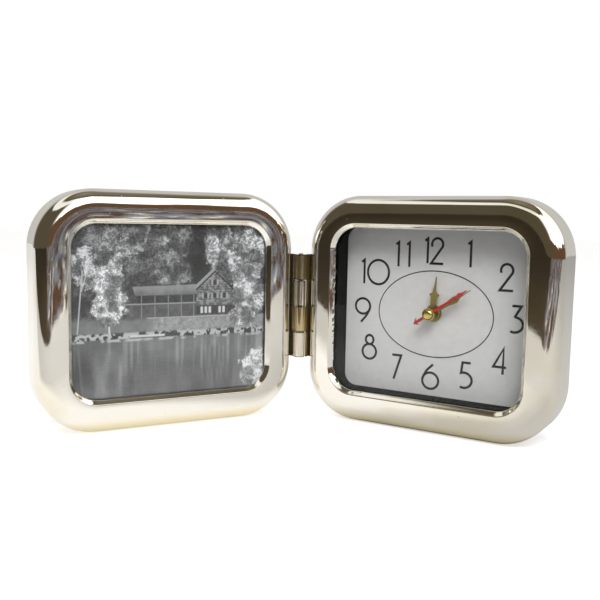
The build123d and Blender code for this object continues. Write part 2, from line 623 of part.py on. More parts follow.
with BuildPart() as coil_winding:
    rods(coil_plane, COIL_RADIUS - RUNNING, COIL_LENGTH)
    rods(coil_plane, BOBBIN_RADIUS, COIL_LENGTH, mode=Mode.SUBTRACT)
keep(coil_winding, "coil_winding")

with BuildPart() as circuit_board:
    slab(
        CLOCK.offset(BOARD_BACK), BOARD_LENGTH, BOARD_HEIGHT, BOARD_CORNER, MIDDLE_PLATE - BOARD_BACK,
        BOARD_AT,
    )
keep(circuit_board, "circuit_board")

with BuildPart() as chip:
    rods(CLOCK.offset(BOARD_BACK - CHIP_HEIGHT), CHIP_RADIUS, CHIP_HEIGHT, (BOARD_AT,))
    fillet(chip.edges().group_by(clock_depth_axis)[0], radius=CHIP_HEIGHT / 2)
keep(chip, "chip")

crystal_start = (BOARD_AT[0] + CHIP_RADIUS + CRYSTAL_RADIUS + FIT_GAP, BOARD_AT[1] - CRYSTAL_LENGTH / 2)
crystal_origin = CLOCK.from_local_coords((*crystal_start, BOARD_BACK - CRYSTAL_RADIUS))
with BuildPart() as quartz_crystal:
    rods(Plane(origin=crystal_origin, x_dir=CLOCK.x_dir, z_dir=(0, 0, 1)), CRYSTAL_RADIUS, CRYSTAL_LENGTH)
keep(quartz_crystal, "quartz_crystal")

with BuildPart() as sounder_disc:
    rods(CLOCK.offset(BACK_PLATE - SOUNDER_THICKNESS), SOUNDER_RADIUS, SOUNDER_THICKNESS, (SOUNDER_AT,))
keep(sounder_disc, "sounder_disc")

with BuildPart() as switch_contact:
    slab(
        CLOCK.offset(BACK_PLATE - CONTACT_THICKNESS), CONTACT_WIDTH, CONTACT_LEAF, CONTACT_CORNER,
        CONTACT_THICKNESS, (SWITCH_AT[0], SWITCH_AT[1] - SWITCH_FLANGE),
    )
keep(switch_contact, "switch_contact")

with BuildPart() as alarm_contact:
    slab(
        CLOCK.offset(base_back - CONTACT_THICKNESS), 2 * CONTACT_WIDTH, CONTACT_LEAF, CONTACT_CORNER,
        CONTACT_THICKNESS, ALARM_CONTACT_AT,
    )
keep(alarm_contact, "alarm_contact")


# --- battery and its contacts -----------------------------------------------------------------
def bay_plane(x):
    """Plane across the battery bay, z along the battery."""
    return Plane(
        origin=CLOCK.from_local_coords((x, BATTERY_Y, BATTERY_DEPTH)), x_dir=CLOCK.z_dir, z_dir=CLOCK.x_dir
    )


with BuildPart() as battery:
    rods(bay_plane(-BATTERY_LENGTH / 2), BATTERY_RADIUS, BATTERY_LENGTH)
    chamfer(battery.edges().filter_by(GeomType.CIRCLE), length=BATTERY_EDGE)
    rods(bay_plane(BATTERY_LENGTH / 2), BATTERY_NUB_RADIUS, BATTERY_NUB)
keep(battery, "battery")

with BuildPart() as battery_contact_positive:
    with BuildSketch(bay_plane(BATTERY_LENGTH / 2 + BATTERY_NUB)):
        Rectangle(CONTACT_WIDTH, CONTACT_WIDTH)
    extrude(amount=CONTACT_THICKNESS)
keep(battery_contact_positive, "battery_contact_positive")

with BuildPart() as battery_contact_negative:
    bay_end, leaf_end = -BAY_LENGTH / 2, -BATTERY_LENGTH / 2 - CONTACT_THICKNESS
    half = CONTACT_WIDTH / 2
    with BuildSketch(Plane(
        origin=CLOCK.from_local_coords((0, BATTERY_Y - half / 2, BATTERY_DEPTH)),
        x_dir=CLOCK.x_dir, z_dir=(0, 0, 1),
    )):
        with BuildLine():
            Polyline((bay_end, half), (bay_end, -half), (leaf_end, 0), (bay_end + half / 2, half / 2))
            offset(amount=CONTACT_THICKNESS, side=Side.LEFT)
        make_face()
    extrude(amount=half)
keep(battery_contact_negative, "battery_contact_negative")


# --- wheels and shafts ----------------------------------------------------------------------------
CANNON_PHASE = 90 - MINUTE_ANGLE
MINUTE_PHASE = mesh_phase(CANNON_PHASE, CANNON_PINION, MINUTE_WAY, MINUTE_TEETH)
SETTING_PHASE = mesh_phase(MINUTE_PHASE, MINUTE_TEETH, MINUTE_WAY, SETTING_PINION)
HOUR_PHASE = mesh_phase(0, MINUTE_PINION, MINUTE_WAY + 180, HOUR_TEETH)
ALARM_PINION_PHASE = mesh_phase(0, ALARM_TEETH, ALARM_WAY, ALARM_PINION)
THIRD_PHASE = mesh_phase(0, SECOND_PINION, THIRD_WAY, THIRD_TEETH)
CENTRE_PHASE = mesh_phase(0, THIRD_PINION, THIRD_WAY + 180, CENTRE_TEETH)
FAST_PINION_PHASE = mesh_phase(0, SECOND_TEETH, FAST_WAY, FAST_PINION)
ROTOR_PHASE = mesh_phase(0, FAST_TEETH, ROTOR_WAY, ROTOR_PINION)

with BuildPart() as rotor_magnet:
    magnet_back = THIRD_LAYER + (STATOR_THICKNESS - MAGNET_LENGTH) / 2
    rods(CLOCK.offset(magnet_back), MAGNET_RADIUS, MAGNET_LENGTH, (ROTOR_AT,))
    rods(CLOCK.offset(magnet_back), ARBOR, MAGNET_LENGTH, (ROTOR_AT,), mode=Mode.SUBTRACT)
keep(rotor_magnet, "rotor_magnet")

with BuildPart() as rotor_pinion:
    gear(CLOCK.offset(FAST_LAYER), ROTOR_PINION, MODULE, ROTOR_PHASE, ROTOR_AT)
    rods(CLOCK.offset(BACK_PLATE), ARBOR, middle_front - BACK_PLATE, (ROTOR_AT,))
keep(rotor_pinion, "rotor_pinion")

with BuildPart() as intermediate_wheel:
    gear(CLOCK.offset(FAST_LAYER), FAST_TEETH, MODULE, 0, FAST_AT)
    gear(
        CLOCK.offset(FAST_LAYER + WHEEL_THICKNESS), FAST_PINION, MODULE, FAST_PINION_PHASE, FAST_AT,
        LAYER_PITCH,
    )
    rods(CLOCK.offset(FAST_LAYER), pivot, LAYER_PITCH + WHEEL_THICKNESS, (FAST_AT,), mode=Mode.SUBTRACT)
keep(intermediate_wheel, "intermediate_wheel")

with BuildPart() as second_wheel:
    gear(CLOCK.offset(SECOND_LAYER), SECOND_TEETH, MODULE, 0, CENTRE)
    gear(CLOCK.offset(SECOND_LAYER + WHEEL_THICKNESS), SECOND_PINION, MODULE, 0, CENTRE, LAYER_PITCH)
    rods(CLOCK.offset(BACK_PLATE), ARBOR, SECOND_HAND_LEVEL + HAND_THICKNESS + CAP_RIM - BACK_PLATE)
keep(second_wheel, "second_wheel")

with BuildPart() as third_wheel:
    gear(CLOCK.offset(THIRD_LAYER), THIRD_TEETH, MODULE, THIRD_PHASE, THIRD_AT)
    gear(CLOCK.offset(CENTRE_LAYER), THIRD_PINION, CENTRE_MODULE, 0, THIRD_AT)
    rods(CLOCK.offset(BACK_PLATE), ARBOR, middle_front - BACK_PLATE, (THIRD_AT,))
keep(third_wheel, "third_wheel")

with BuildPart() as centre_wheel:
    gear(CLOCK.offset(CENTRE_LAYER), CENTRE_TEETH, CENTRE_MODULE, CENTRE_PHASE, CENTRE)
    rods(CLOCK.offset(CENTRE_LAYER), MINUTE_PIPE + RUNNING, WHEEL_THICKNESS, mode=Mode.SUBTRACT)
keep(centre_wheel, "centre_wheel")

with BuildPart() as minute_pipe:
    pipe_length = MINUTE_HAND_LEVEL + HAND_THICKNESS - CENTRE_LAYER
    gear(CLOCK.offset(MOTION_LAYER), CANNON_PINION, MODULE, CANNON_PHASE, CENTRE)
    rods(CLOCK.offset(CENTRE_LAYER), MINUTE_PIPE, pipe_length)
    rods(CLOCK.offset(CENTRE_LAYER), pivot, pipe_length, mode=Mode.SUBTRACT)
keep(minute_pipe, "minute_pipe")

with BuildPart() as minute_wheel:
    gear(CLOCK.offset(MOTION_LAYER), MINUTE_TEETH, MODULE, MINUTE_PHASE, MINUTE_AT)
    gear(CLOCK.offset(HOUR_LAYER), MINUTE_PINION, HOUR_MODULE, 0, MINUTE_AT)
    rods(
        CLOCK.offset(MOTION_LAYER + WHEEL_THICKNESS), MINUTE_HUB_RADIUS, LAYER_PITCH - WHEEL_THICKNESS,
        (MINUTE_AT,),
    )
    rods(
        CLOCK.offset(MOTION_LAYER), STUD + RUNNING, LAYER_PITCH + WHEEL_THICKNESS, (MINUTE_AT,),
        mode=Mode.SUBTRACT,
    )
keep(minute_wheel, "minute_wheel")

with BuildPart() as hour_wheel:
    pipe_length = HOUR_HAND_LEVEL + HAND_THICKNESS - HOUR_LAYER
    gear(CLOCK.offset(HOUR_LAYER), HOUR_TEETH, HOUR_MODULE, HOUR_PHASE, CENTRE)
    rods(CLOCK.offset(HOUR_LAYER), HOUR_PIPE, pipe_length)
    rods(CLOCK.offset(HOUR_LAYER), MINUTE_PIPE + RUNNING, pipe_length, mode=Mode.SUBTRACT)
keep(hour_wheel, "hour_wheel")

with BuildPart() as alarm_wheel:
    pipe_length = ALARM_HAND_LEVEL + HAND_THICKNESS - ALARM_LAYER
    gear(CLOCK.offset(ALARM_LAYER), ALARM_TEETH, MODULE, 0, CENTRE)
    rods(CLOCK.offset(ALARM_LAYER), ALARM_PIPE, pipe_length)
    rods(CLOCK.offset(ALARM_LAYER), HOUR_PIPE + RUNNING, pipe_length, mode=Mode.SUBTRACT)
keep(alarm_wheel, "alarm_wheel")


# --- setting shafts and knobs -----------------------------------------------------------------------
knob_front = COVER_BACK - KNOB_GAP
shaft_back = knob_front - KNOB_HEIGHT / 2


def build_shaft(at, layer, teeth, phase):
    """A setting shaft from the knob to the movement's base, with its pinion."""
    with BuildPart() as shaft:
        gear(CLOCK.offset(layer), teeth, MODULE, phase, at)
        rods(CLOCK.offset(shaft_back), KNOB_SHAFT, dial_back - FIT_GAP - shaft_back, (at,))
    return shaft


def build_knob(at):
    """A round knob with grooves down its side, pressed on its shaft."""
    with BuildPart() as knob:
        rods(CLOCK.offset(knob_front - KNOB_HEIGHT), KNOB_RADIUS, KNOB_HEIGHT, (at,))
        chamfer(knob.edges().group_by(clock_depth_axis)[0], length=KNOB_GROOVE)
        with BuildSketch(CLOCK.offset(knob_front - KNOB_HEIGHT)):
            with Locations(at):
                with PolarLocations(KNOB_RADIUS, KNOB_RIBS):
                    Circle(KNOB_GROOVE)
        extrude(amount=KNOB_HEIGHT, mode=Mode.SUBTRACT)
        rods(CLOCK.offset(shaft_back), KNOB_SHAFT, KNOB_HEIGHT, (at,), mode=Mode.SUBTRACT)
    return knob


keep(build_shaft(SETTING_AT, MOTION_LAYER, SETTING_PINION, SETTING_PHASE), "time_setting_shaft")
keep(build_shaft(ALARM_AT, ALARM_LAYER, ALARM_PINION, ALARM_PINION_PHASE), "alarm_setting_shaft")
keep(build_knob(SETTING_AT), "time_setting_knob")
keep(build_knob(ALARM_AT), "alarm_setting_knob")


# --- hands ---------------------------------------------------------------------------------------------
def hand_plane(level, angle):
    """Plane of a hand: y runs from the centre to its tip."""
    across = CLOCK.x_dir * cos(radians(angle)) - CLOCK.y_dir * sin(radians(angle))
    return Plane(origin=CLOCK.offset(level).origin, x_dir=across, z_dir=CLOCK.z_dir)


def build_spade(level, angle, hub, reaches, half_widths, bore):
    """A flat hand that swells from a waist to a bulge, then narrows to a needle."""
    waist, bulge, neck, tip = reaches
    waist_half, bulge_half, neck_half, tip_half = half_widths
    with BuildPart() as hand:
        with BuildSketch(hand_plane(level, angle)):
            with BuildLine():
                Line((0, 0), (waist_half, 0))
                Line((waist_half, 0), (waist_half, waist))
                Spline(
                    (waist_half, waist), (bulge_half, bulge), (neck_half, neck), tangents=((0, 1), (0, 1))
                )
                Line((neck_half, neck), (tip_half, tip))
                Line((tip_half, tip), (0, tip))
                mirror(about=Plane.YZ)
            make_face()
            Circle(hub)
            Circle(bore, mode=Mode.SUBTRACT)
        extrude(amount=HAND_THICKNESS)
    return hand


hour_reaches = (HOUR_WAIST, HOUR_BULGE, HOUR_NECK, HOUR_TIP)
minute_reaches = (MINUTE_WAIST, MINUTE_BULGE, MINUTE_NECK, MINUTE_TIP)
keep(
    build_spade(HOUR_HAND_LEVEL, HOUR_ANGLE, HOUR_HUB, hour_reaches, HOUR_HALF_WIDTHS, HOUR_PIPE),
    "hour_hand",
)
keep(
    build_spade(MINUTE_HAND_LEVEL, MINUTE_ANGLE, MINUTE_HUB, minute_reaches, MINUTE_HALF_WIDTHS, MINUTE_PIPE),
    "minute_hand",
)

with BuildPart() as alarm_hand:
    with BuildSketch(hand_plane(ALARM_HAND_LEVEL, ALARM_ANGLE)):
        Polygon(
            (-ALARM_HALF_WIDTH, 0), (ALARM_HALF_WIDTH, 0), (ALARM_HALF_WIDTH / 2, ALARM_TIP),
            (-ALARM_HALF_WIDTH / 2, ALARM_TIP), align=None,
        )
        Circle(ALARM_HUB)
        Circle(ALARM_PIPE, mode=Mode.SUBTRACT)
    extrude(amount=HAND_THICKNESS)
keep(alarm_hand, "alarm_hand")

with BuildPart() as second_hand:
    with BuildSketch(hand_plane(SECOND_HAND_LEVEL, SECOND_ANGLE)):
        with BuildLine():
            Polyline(
                (0, SECOND_TAIL), (TAIL_HALF_WIDTH, SECOND_TAIL + TAIL_ARROW),
                (SECOND_HALF_WIDTH, SECOND_TAIL + TAIL_ARROW * 2 / 3), (SECOND_HALF_WIDTH, 0),
                (SECOND_HALF_WIDTH * 2 / 3, DIAMOND_AT - DIAMOND_LENGTH / 2),
                (DIAMOND_HALF_WIDTH, DIAMOND_AT),
                (SECOND_HALF_WIDTH / 2, DIAMOND_AT + DIAMOND_LENGTH / 2),
                (SECOND_HALF_WIDTH / 3, SECOND_TIP),
                (0, SECOND_TIP),
            )
            mirror(about=Plane.YZ)
        make_face()
        Circle(SECOND_HUB)
        Circle(ARBOR, mode=Mode.SUBTRACT)
    extrude(amount=HAND_THICKNESS)
keep(second_hand, "second_hand")

with BuildPart() as hand_cap:
    cap_back = SECOND_HAND_LEVEL + HAND_THICKNESS
    rods(CLOCK.offset(cap_back), CAP_RADIUS, CAP_HEIGHT)
    fillet(hand_cap.edges().group_by(clock_depth_axis)[-1], radius=CAP_RADIUS - CAP_RIM)
    rods(CLOCK.offset(cap_back), ARBOR, CAP_RIM, mode=Mode.SUBTRACT)
keep(hand_cap, "hand_cap")
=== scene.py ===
import json
from math import cos, hypot, pi, radians, sin

import bmesh
import bpy
import numpy as np
from mathutils import Matrix, Vector, noise


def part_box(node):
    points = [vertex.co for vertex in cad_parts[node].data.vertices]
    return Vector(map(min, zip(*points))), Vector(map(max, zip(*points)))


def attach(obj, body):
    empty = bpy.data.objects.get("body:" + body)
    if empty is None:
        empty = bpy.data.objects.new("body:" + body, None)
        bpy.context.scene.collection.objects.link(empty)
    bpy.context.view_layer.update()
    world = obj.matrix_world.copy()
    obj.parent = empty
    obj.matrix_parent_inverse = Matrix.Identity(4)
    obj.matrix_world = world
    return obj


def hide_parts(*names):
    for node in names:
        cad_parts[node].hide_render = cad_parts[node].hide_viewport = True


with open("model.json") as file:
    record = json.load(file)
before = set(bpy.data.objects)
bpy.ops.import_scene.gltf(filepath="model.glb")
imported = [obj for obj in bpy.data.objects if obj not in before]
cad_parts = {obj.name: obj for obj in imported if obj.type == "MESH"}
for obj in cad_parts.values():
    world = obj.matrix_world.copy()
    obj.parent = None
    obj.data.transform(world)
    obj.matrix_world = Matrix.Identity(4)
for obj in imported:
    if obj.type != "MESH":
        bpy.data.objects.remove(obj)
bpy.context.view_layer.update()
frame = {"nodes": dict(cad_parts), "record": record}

# The shapes are in millimetres inside a case's own frame: x level, y up, w out of the face. place()
# turns them into metres in the row frame, which is what the materials and the studio use.
MM = 0.001
LEAN = radians(30)         # how far each case turns from the row's line
CASE_WIDTH, CASE_HEIGHT, CASE_DEPTH, CORNER = 79.2, 70.0, 15.0, 17.0
AXIS_TO_WALL, AXIS_AHEAD = 1.7, 0.2    # the hinge's axis from a side wall, and in front of the face
REACH = AXIS_TO_WALL + CASE_WIDTH / 2
WINDOW_INSET, CREASE_INSET = 9.8, 8.6
WINDOW_WIDTH, WINDOW_HEIGHT = CASE_WIDTH - 2 * WINDOW_INSET, CASE_HEIGHT - 2 * WINDOW_INSET
FACE_THICKNESS, WALL, SHOULDER = 1.6, 1.2, 4.6
CREASE_DROP = 0.16
HINGE_LENGTH, BARREL_RADIUS = 33.0, 1.7
KNUCKLE, HINGE_LOW = HINGE_LENGTH / 4, (CASE_HEIGHT - HINGE_LENGTH) / 2
LENS_BACK, DIAL_FACE = -2.6, -10.4
INK_LIFT = 0.03            # how far the ink stands off the dial
SEED = 7
axis_low, axis_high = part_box("hinge_pin")
AXIS_Y = (axis_low.y + axis_high.y) / 2
CLOCK, PICTURE = 1, -1


def place(side, x, y, w):
    """A point of a case in the row frame. side is CLOCK or PICTURE."""
    run = Vector((side * cos(LEAN), -sin(LEAN), 0))
    normal = Vector((-side * sin(LEAN), -cos(LEAN), 0))
    level = run * (REACH + side * x) + normal * (w - AXIS_AHEAD)
    return Vector((level.x * MM, AXIS_Y + level.y * MM, (CASE_HEIGHT / 2 + y) * MM))


# --- materials ---------------------------------------------------------------------
def link_all(tree, node, inputs):
    """Sets a node's inputs from values or from other nodes' outputs."""
    for key, value in inputs.items():
        socket = node.inputs[key]
        if isinstance(value, bpy.types.NodeSocket):
            tree.links.new(value, socket)
        elif socket.type == "RGBA" and len(value) == 3:
            socket.default_value = (*value, 1)
        else:
            socket.default_value = value
    return node


class Nodes:
    """A node tree, with short calls for the nodes that repeat."""

    def __init__(self, tree):
        self.tree = tree

    def add(self, kind, settings=(), **inputs):
        """A new node. settings are its properties, and inputs its sockets by name."""
        node = self.tree.nodes.new(kind)
        for key, value in dict(settings).items():
            setattr(node, key, value)
        return link_all(self.tree, node, inputs)

    def maths(self, operation, first, second=0.0):
        """One sum on one or two values."""
        made = self.add("ShaderNodeMath", {"operation": operation})
        link_all(self.tree, made, {0: first, 1: second})
        return made.outputs[0]

    def mix(self, share, first, second):
        """A colour between two others."""
        made = self.add("ShaderNodeMix", {"data_type": "RGBA"})
        link_all(self.tree, made, {0: share, 6: first, 7: second})
        return made.outputs[2]

    def split(self, vector):
        """The X, Y and Z of a vector."""
        return self.add("ShaderNodeSeparateXYZ", Vector=vector).outputs


class Paint(Nodes):
    """A node material around one Principled shader."""

    def __init__(self, name, **inputs):
        self.made = bpy.data.materials.new(name)
        self.made.use_nodes = True
        super().__init__(self.made.node_tree)
        self.shader = self.tree.nodes["Principled BSDF"]
        self.place = self.add("ShaderNodeTexCoord").outputs["Object"]
        self.set(**inputs)

    def set(self, **inputs):
        """Sets the shader's own inputs, an underscore for each space in their names."""
        link_all(self.tree, self.shader, {key.replace("_", " "): value for key, value in inputs.items()})

    def noise(self, scale, detail=3.0, roughness=0.55, where=None):
        """Noise with its scale per metre, from 0 to 1."""
        made = self.add("ShaderNodeTexNoise", Vector=where or self.place, Scale=scale, Detail=detail,
                        Roughness=roughness)
        return made.outputs["Fac"]

    def stretched(self, scale):
        """The object's coordinates, stretched, for grain along one direction."""
        return self.add("ShaderNodeMapping", Vector=self.place, Scale=scale).outputs["Vector"]

    def ramp(self, value, low, high, start=0.35, end=0.65):
        """A value moved from start..end to low..high."""
        made = self.add("ShaderNodeMapRange", Value=value)
        link_all(self.tree, made, {"From Min": start, "From Max": end, "To Min": low, "To Max": high})
        return made.outputs["Result"]

    def bump(self, height, distance, after=None):
        """A bump of that distance in metres, on top of the one before it."""
        made = self.add("ShaderNodeBump", Height=height, Distance=distance, Strength=1.0)
        if after is not None:
            self.tree.links.new(after, made.inputs["Normal"])
        return made.outputs["Normal"]

    def spots(self, scale, size):
        """1 in small scattered round spots, 0 between them."""
        cells = self.add("ShaderNodeTexVoronoi", Vector=self.place, Scale=scale, Randomness=1.0)
        return self.ramp(cells.outputs["Distance"], 1.0, 0.0, 0.5 * size, size)


PIT_BROWN, DIRT = (0.28, 0.24, 0.18), (0.02, 0.014, 0.008)
CLEAN = 0.035              # roughness of plating with no haze


def joint_dirt(paint):
    """1 in the joints between the hinge's knuckles, 0 a little way from them and on the leaves."""
    parts = paint.split(paint.place)
    to_joint = paint.maths("PINGPONG", paint.maths("SUBTRACT", parts["Z"], HINGE_LOW * MM), KNUCKLE / 2 * MM)
    at_joint = paint.ramp(to_joint, 1.0, 0.0, 0.1 * MM, 0.5 * MM)
    on_barrel = paint.ramp(paint.maths("ABSOLUTE", parts["X"]), 1.0, 0.0,
                           (BARREL_RADIUS + 0.1) * MM, (BARREL_RADIUS + 0.5) * MM)
    return paint.maths("MULTIPLY", at_joint, on_barrel)


def plating(name, bright, warm, wear, shine=1.0, jointed=False):
    """Mirror plating: slow waves, fine pits, warm patches, and a painted reflection: the warm tone close to
    the ground, standing in for the shaded floor that the bottom edge mirrors.

    wear is how much haze it has, shine how metallic it is, and jointed adds dirt in the hinge's joints."""
    paint = Paint(name, Metallic=shine)
    patches = paint.ramp(paint.noise(28, 4), 0.0, 1.0)
    # Painted reflection: up to about 4.5 mm off the ground the plating turns to the warm tone, standing in
    # for the shaded floor mirrored in its bottom edge.
    low = paint.ramp(paint.split(paint.place)["Z"], 1.0, 0.0, 0.001, 0.0045)
    warm_patches_and_painted_reflection = paint.maths("MAXIMUM", low, paint.ramp(patches, 0.0, 0.4, 0.5, 1.0))
    colour = paint.mix(warm_patches_and_painted_reflection, bright, warm)
    pits = paint.spots(260, 0.045)
    colour = paint.mix(paint.ramp(pits, 0.0, 0.45, 0.0, 1.0), colour, PIT_BROWN)
    if jointed:
        colour = paint.mix(joint_dirt(paint), colour, DIRT)
    haze = paint.ramp(paint.noise(900, 5, 0.7), CLEAN, CLEAN + wear, 0.4, 0.75)
    waves = paint.bump(paint.noise(55, 1), 0.00004)
    peel = paint.bump(paint.noise(420, 2), 0.0000025, after=waves)
    dents = paint.bump(paint.ramp(pits, 1.0, 0.0, 0.0, 1.0), 0.00003, after=peel)
    paint.set(Base_Color=colour, Roughness=haze, Normal=dents)
    return paint.made


def plastic(name, colour, roughness, grain=2600, depth=0.000012, spread=0.12, gloss=0.5):
    """Moulded plastic with a fine spark-eroded grain and slight changes of sheen."""
    paint = Paint(name, IOR=1.5, Specular_IOR_Level=gloss)
    tone = paint.ramp(paint.noise(90, 4), 0.0, 1.0)
    lighter = tuple(min(1.0, c * 1.25 + 0.004) for c in colour)
    sheen = paint.ramp(paint.noise(300, 4), roughness - spread / 2, roughness + spread / 2, 0.3, 0.7)
    paint.set(Base_Color=paint.mix(tone, colour, lighter), Roughness=sheen,
              Normal=paint.bump(paint.noise(grain, 2), depth))
    return paint.made


def metal(name, colour, dull, roughness, stretch=(1, 1, 14), grain=500, depth=0.000006):
    """Drawn or rolled metal with a fine grain along one direction and duller patches."""
    paint = Paint(name, Metallic=1.0)
    lines = paint.noise(grain, 3, 0.6, paint.stretched(stretch))
    patches = paint.ramp(paint.noise(160, 4), 0.0, 1.0)
    paint.set(Base_Color=paint.mix(patches, colour, dull),
              Roughness=paint.ramp(lines, roughness * 0.75, roughness * 1.35, 0.3, 0.7),
              Normal=paint.bump(lines, depth))
    return paint.made


def printed(name, colour, roughness=0.55):
    """Printed or painted card: fibres in the bump and a hardly visible mottle."""
    paint = Paint(name, IOR=1.45)
    mottle = paint.ramp(paint.noise(500, 5), 0.0, 1.0)
    darker = tuple(c * 0.95 for c in colour)
    paint.set(Base_Color=paint.mix(mottle, colour, darker), Roughness=roughness,
              Normal=paint.bump(paint.noise(3500, 3), 0.000006))
    return paint.made


def clear_sheet(name):
    """Clear plastic sheet that casts no shadow on what is behind it."""
    paint = Paint(name, IOR=1.3, Transmission_Weight=1.0)
    smears = paint.ramp(paint.noise(70, 5), 0.0, 0.02, 0.4, 0.8)
    paint.set(Roughness=smears, Base_Color=(0.985, 0.99, 0.99))
    open_way = paint.add("ShaderNodeBsdfTransparent")
    lamp_ray = paint.add("ShaderNodeLightPath").outputs["Is Shadow Ray"]
    both = paint.add("ShaderNodeMixShader", Fac=lamp_ray)
    paint.tree.links.new(paint.shader.outputs[0], both.inputs[1])
    paint.tree.links.new(open_way.outputs[0], both.inputs[2])
    paint.tree.links.new(both.outputs[0], paint.tree.nodes["Material Output"].inputs["Surface"])
    return paint.made


def photo_print(name):
    """A glossy monochrome print: its tones are the mesh's own, with paper grain and print noise."""
    paint = Paint(name, IOR=1.45, Coat_Weight=0.15, Coat_Roughness=0.2)
    tones = paint.add("ShaderNodeAttribute", {"attribute_name": "tone"}).outputs["Color"]
    grain = paint.ramp(paint.noise(4200, 2), 0.0, 0.1, 0.35, 0.65)
    paint.set(Base_Color=paint.mix(grain, tones, (0.5, 0.51, 0.53)), Roughness=0.4,
              Normal=paint.bump(paint.noise(2500, 3), 0.000004))
    return paint.made


def laminate(name):
    """Circuit board: woven base under a coat, with a few tracks."""
    paint = Paint(name, IOR=1.5, Coat_Weight=0.4)
    weave = paint.noise(1500, 2, 0.5, paint.stretched((1, 1, 6)))
    waves = paint.add("ShaderNodeTexWave", Vector=paint.place, Scale=160.0, Distortion=2.0)
    tracks = paint.ramp(waves.outputs["Fac"], 0.0, 1.0, 0.85, 0.95)
    paint.set(Base_Color=paint.mix(tracks, (0.3, 0.2, 0.08), (0.55, 0.3, 0.12)), Roughness=0.45,
              Normal=paint.bump(weave, 0.00001))
    return paint.made


PLATE = plating("mirror_plating", (0.875, 0.845, 0.78), (0.70, 0.63, 0.42), 0.05)
HINGE = plating("hinge_plating", (0.86, 0.80, 0.68), (0.74, 0.60, 0.34), 0.10, 0.95, True)
WORN_HINGE = plating("worn_hinge_plating", (0.60, 0.49, 0.28), (0.46, 0.32, 0.12), 0.10, 0.9, True)
STEEL = metal("bright_steel", (0.62, 0.61, 0.58), (0.5, 0.49, 0.46), 0.25)
GILT = metal("gilt", (0.45, 0.37, 0.12), (0.33, 0.28, 0.10), 0.42, (1, 1, 1), 1500)
GILT_DOME = metal("gilt_dome", (0.83, 0.66, 0.22), (0.7, 0.53, 0.16), 0.2, (1, 1, 1), 900, 0.000001)
BRASS = metal("brass", (0.74, 0.56, 0.25), (0.6, 0.43, 0.18), 0.22)
COPPER = metal("enamelled_copper", (0.62, 0.27, 0.12), (0.45, 0.18, 0.08), 0.3, (1, 1, 60), 2500, 0.00002)
MAGNET = metal("sintered_magnet", (0.13, 0.13, 0.14), (0.08, 0.08, 0.08), 0.5, (1, 1, 1), 3000)
BLACK = plastic("black_plastic", (0.014, 0.0145, 0.016), 0.42)
FLOCK = plastic("matt_black_surround", (0.004, 0.0042, 0.0046), 0.94, gloss=0.0)
GREY = plastic("grey_plastic", (0.06, 0.06, 0.062), 0.45)
WHITE = plastic("white_plastic", (0.74, 0.73, 0.69), 0.32, 1800, 0.000006)
EPOXY = plastic("potting", (0.008, 0.008, 0.009), 0.2, 700, 0.00003)
SLEEVE = plastic("battery_sleeve", (0.22, 0.25, 0.28), 0.3, 900, 0.000004)
RED = plastic("red_enamel", (0.42, 0.018, 0.012), 0.3, 1500, 0.000005, 0.08)
CARD = printed("backing_card", (0.46, 0.38, 0.27), 0.85)
DIAL = printed("dial_card", (0.78, 0.785, 0.79))
INK = printed("black_ink", (0.008, 0.008, 0.009), 0.5)
LENS = clear_sheet("clear_sheet")
PRINT = photo_print("monochrome_print")
BOARD = laminate("laminate")

BY_SLOT = {
    "plating": PLATE, "hinge_metal": HINGE, "steel": STEEL, "lens": LENS, "black_plastic": BLACK,
    "dial_print": DIAL, "gilt": GILT, "red_paint": RED, "photo_paper": CARD, "card": CARD,
    "grey_plastic": GREY, "white_plastic": WHITE, "brass": BRASS, "copper": COPPER, "magnet": MAGNET,
    "board": BOARD, "epoxy": EPOXY, "battery_label": SLEEVE,
}
SMOOTH_ANGLE = radians(32)
for entry in frame["record"]["subparts"]:
    shown = frame["nodes"][entry["node"]]
    shown.data.materials.clear()
    shown.data.materials.append(BY_SLOT[entry["material_slot"]])
frame["nodes"]["hand_cap"].data.materials[0] = GILT_DOME
frame["nodes"]["hinge_leaf_clock"].data.materials[0] = WORN_HINGE
frame["nodes"]["dial_surround"].data.materials[0] = FLOCK


# --- mesh helpers --------------------------------------------------------------------
def piece(name, points, faces, body, material, smooth=True):
    """A mesh piece that rides on a CAD body."""
    mesh = bpy.data.meshes.new(name)
    mesh.from_pydata([tuple(p) for p in points], [], faces)
    mesh.validate()
    shape = bmesh.new()
    shape.from_mesh(mesh)
    bmesh.ops.recalc_face_normals(shape, faces=shape.faces)
    shape.to_mesh(mesh)
    shape.free()
    if smooth:
        mesh.shade_smooth()
        mesh.set_sharp_from_angle(angle=SMOOTH_ANGLE)
    mesh.materials.append(material)
    made = bpy.data.objects.new(name, mesh)
    bpy.context.scene.collection.objects.link(made)
    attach(made, body)
    return made


ARC_STEPS, LONG_STEPS, TALL_STEPS = 28, 64, 56


def outline(inset):
    """Points round the case's outline set in by inset, anticlockwise from the right side's upper end."""
    radius = CORNER - inset
    half_x, half_y = CASE_WIDTH / 2 - CORNER, CASE_HEIGHT / 2 - CORNER
    points = []
    quarters = (
        (1, 1, 0, LONG_STEPS), (-1, 1, 90, TALL_STEPS), (-1, -1, 180, LONG_STEPS), (1, -1, 270, TALL_STEPS),
    )
    for number, (sx, sy, start, steps) in enumerate(quarters):
        for step in range(ARC_STEPS + 1):
            turn = radians(start + 90 * step / ARC_STEPS)
            points.append((sx * half_x + radius * cos(turn), sy * half_y + radius * sin(turn)))
        nx, ny = quarters[(number + 1) % 4][:2]
        turn = radians(start + 90)
        here = points[-1]
        there = (nx * half_x + radius * cos(turn), ny * half_y + radius * sin(turn))
        for step in range(1, steps):
            share = step / steps
            points.append((here[0] + (there[0] - here[0]) * share, here[1] + (there[1] - here[1]) * share))
    return points


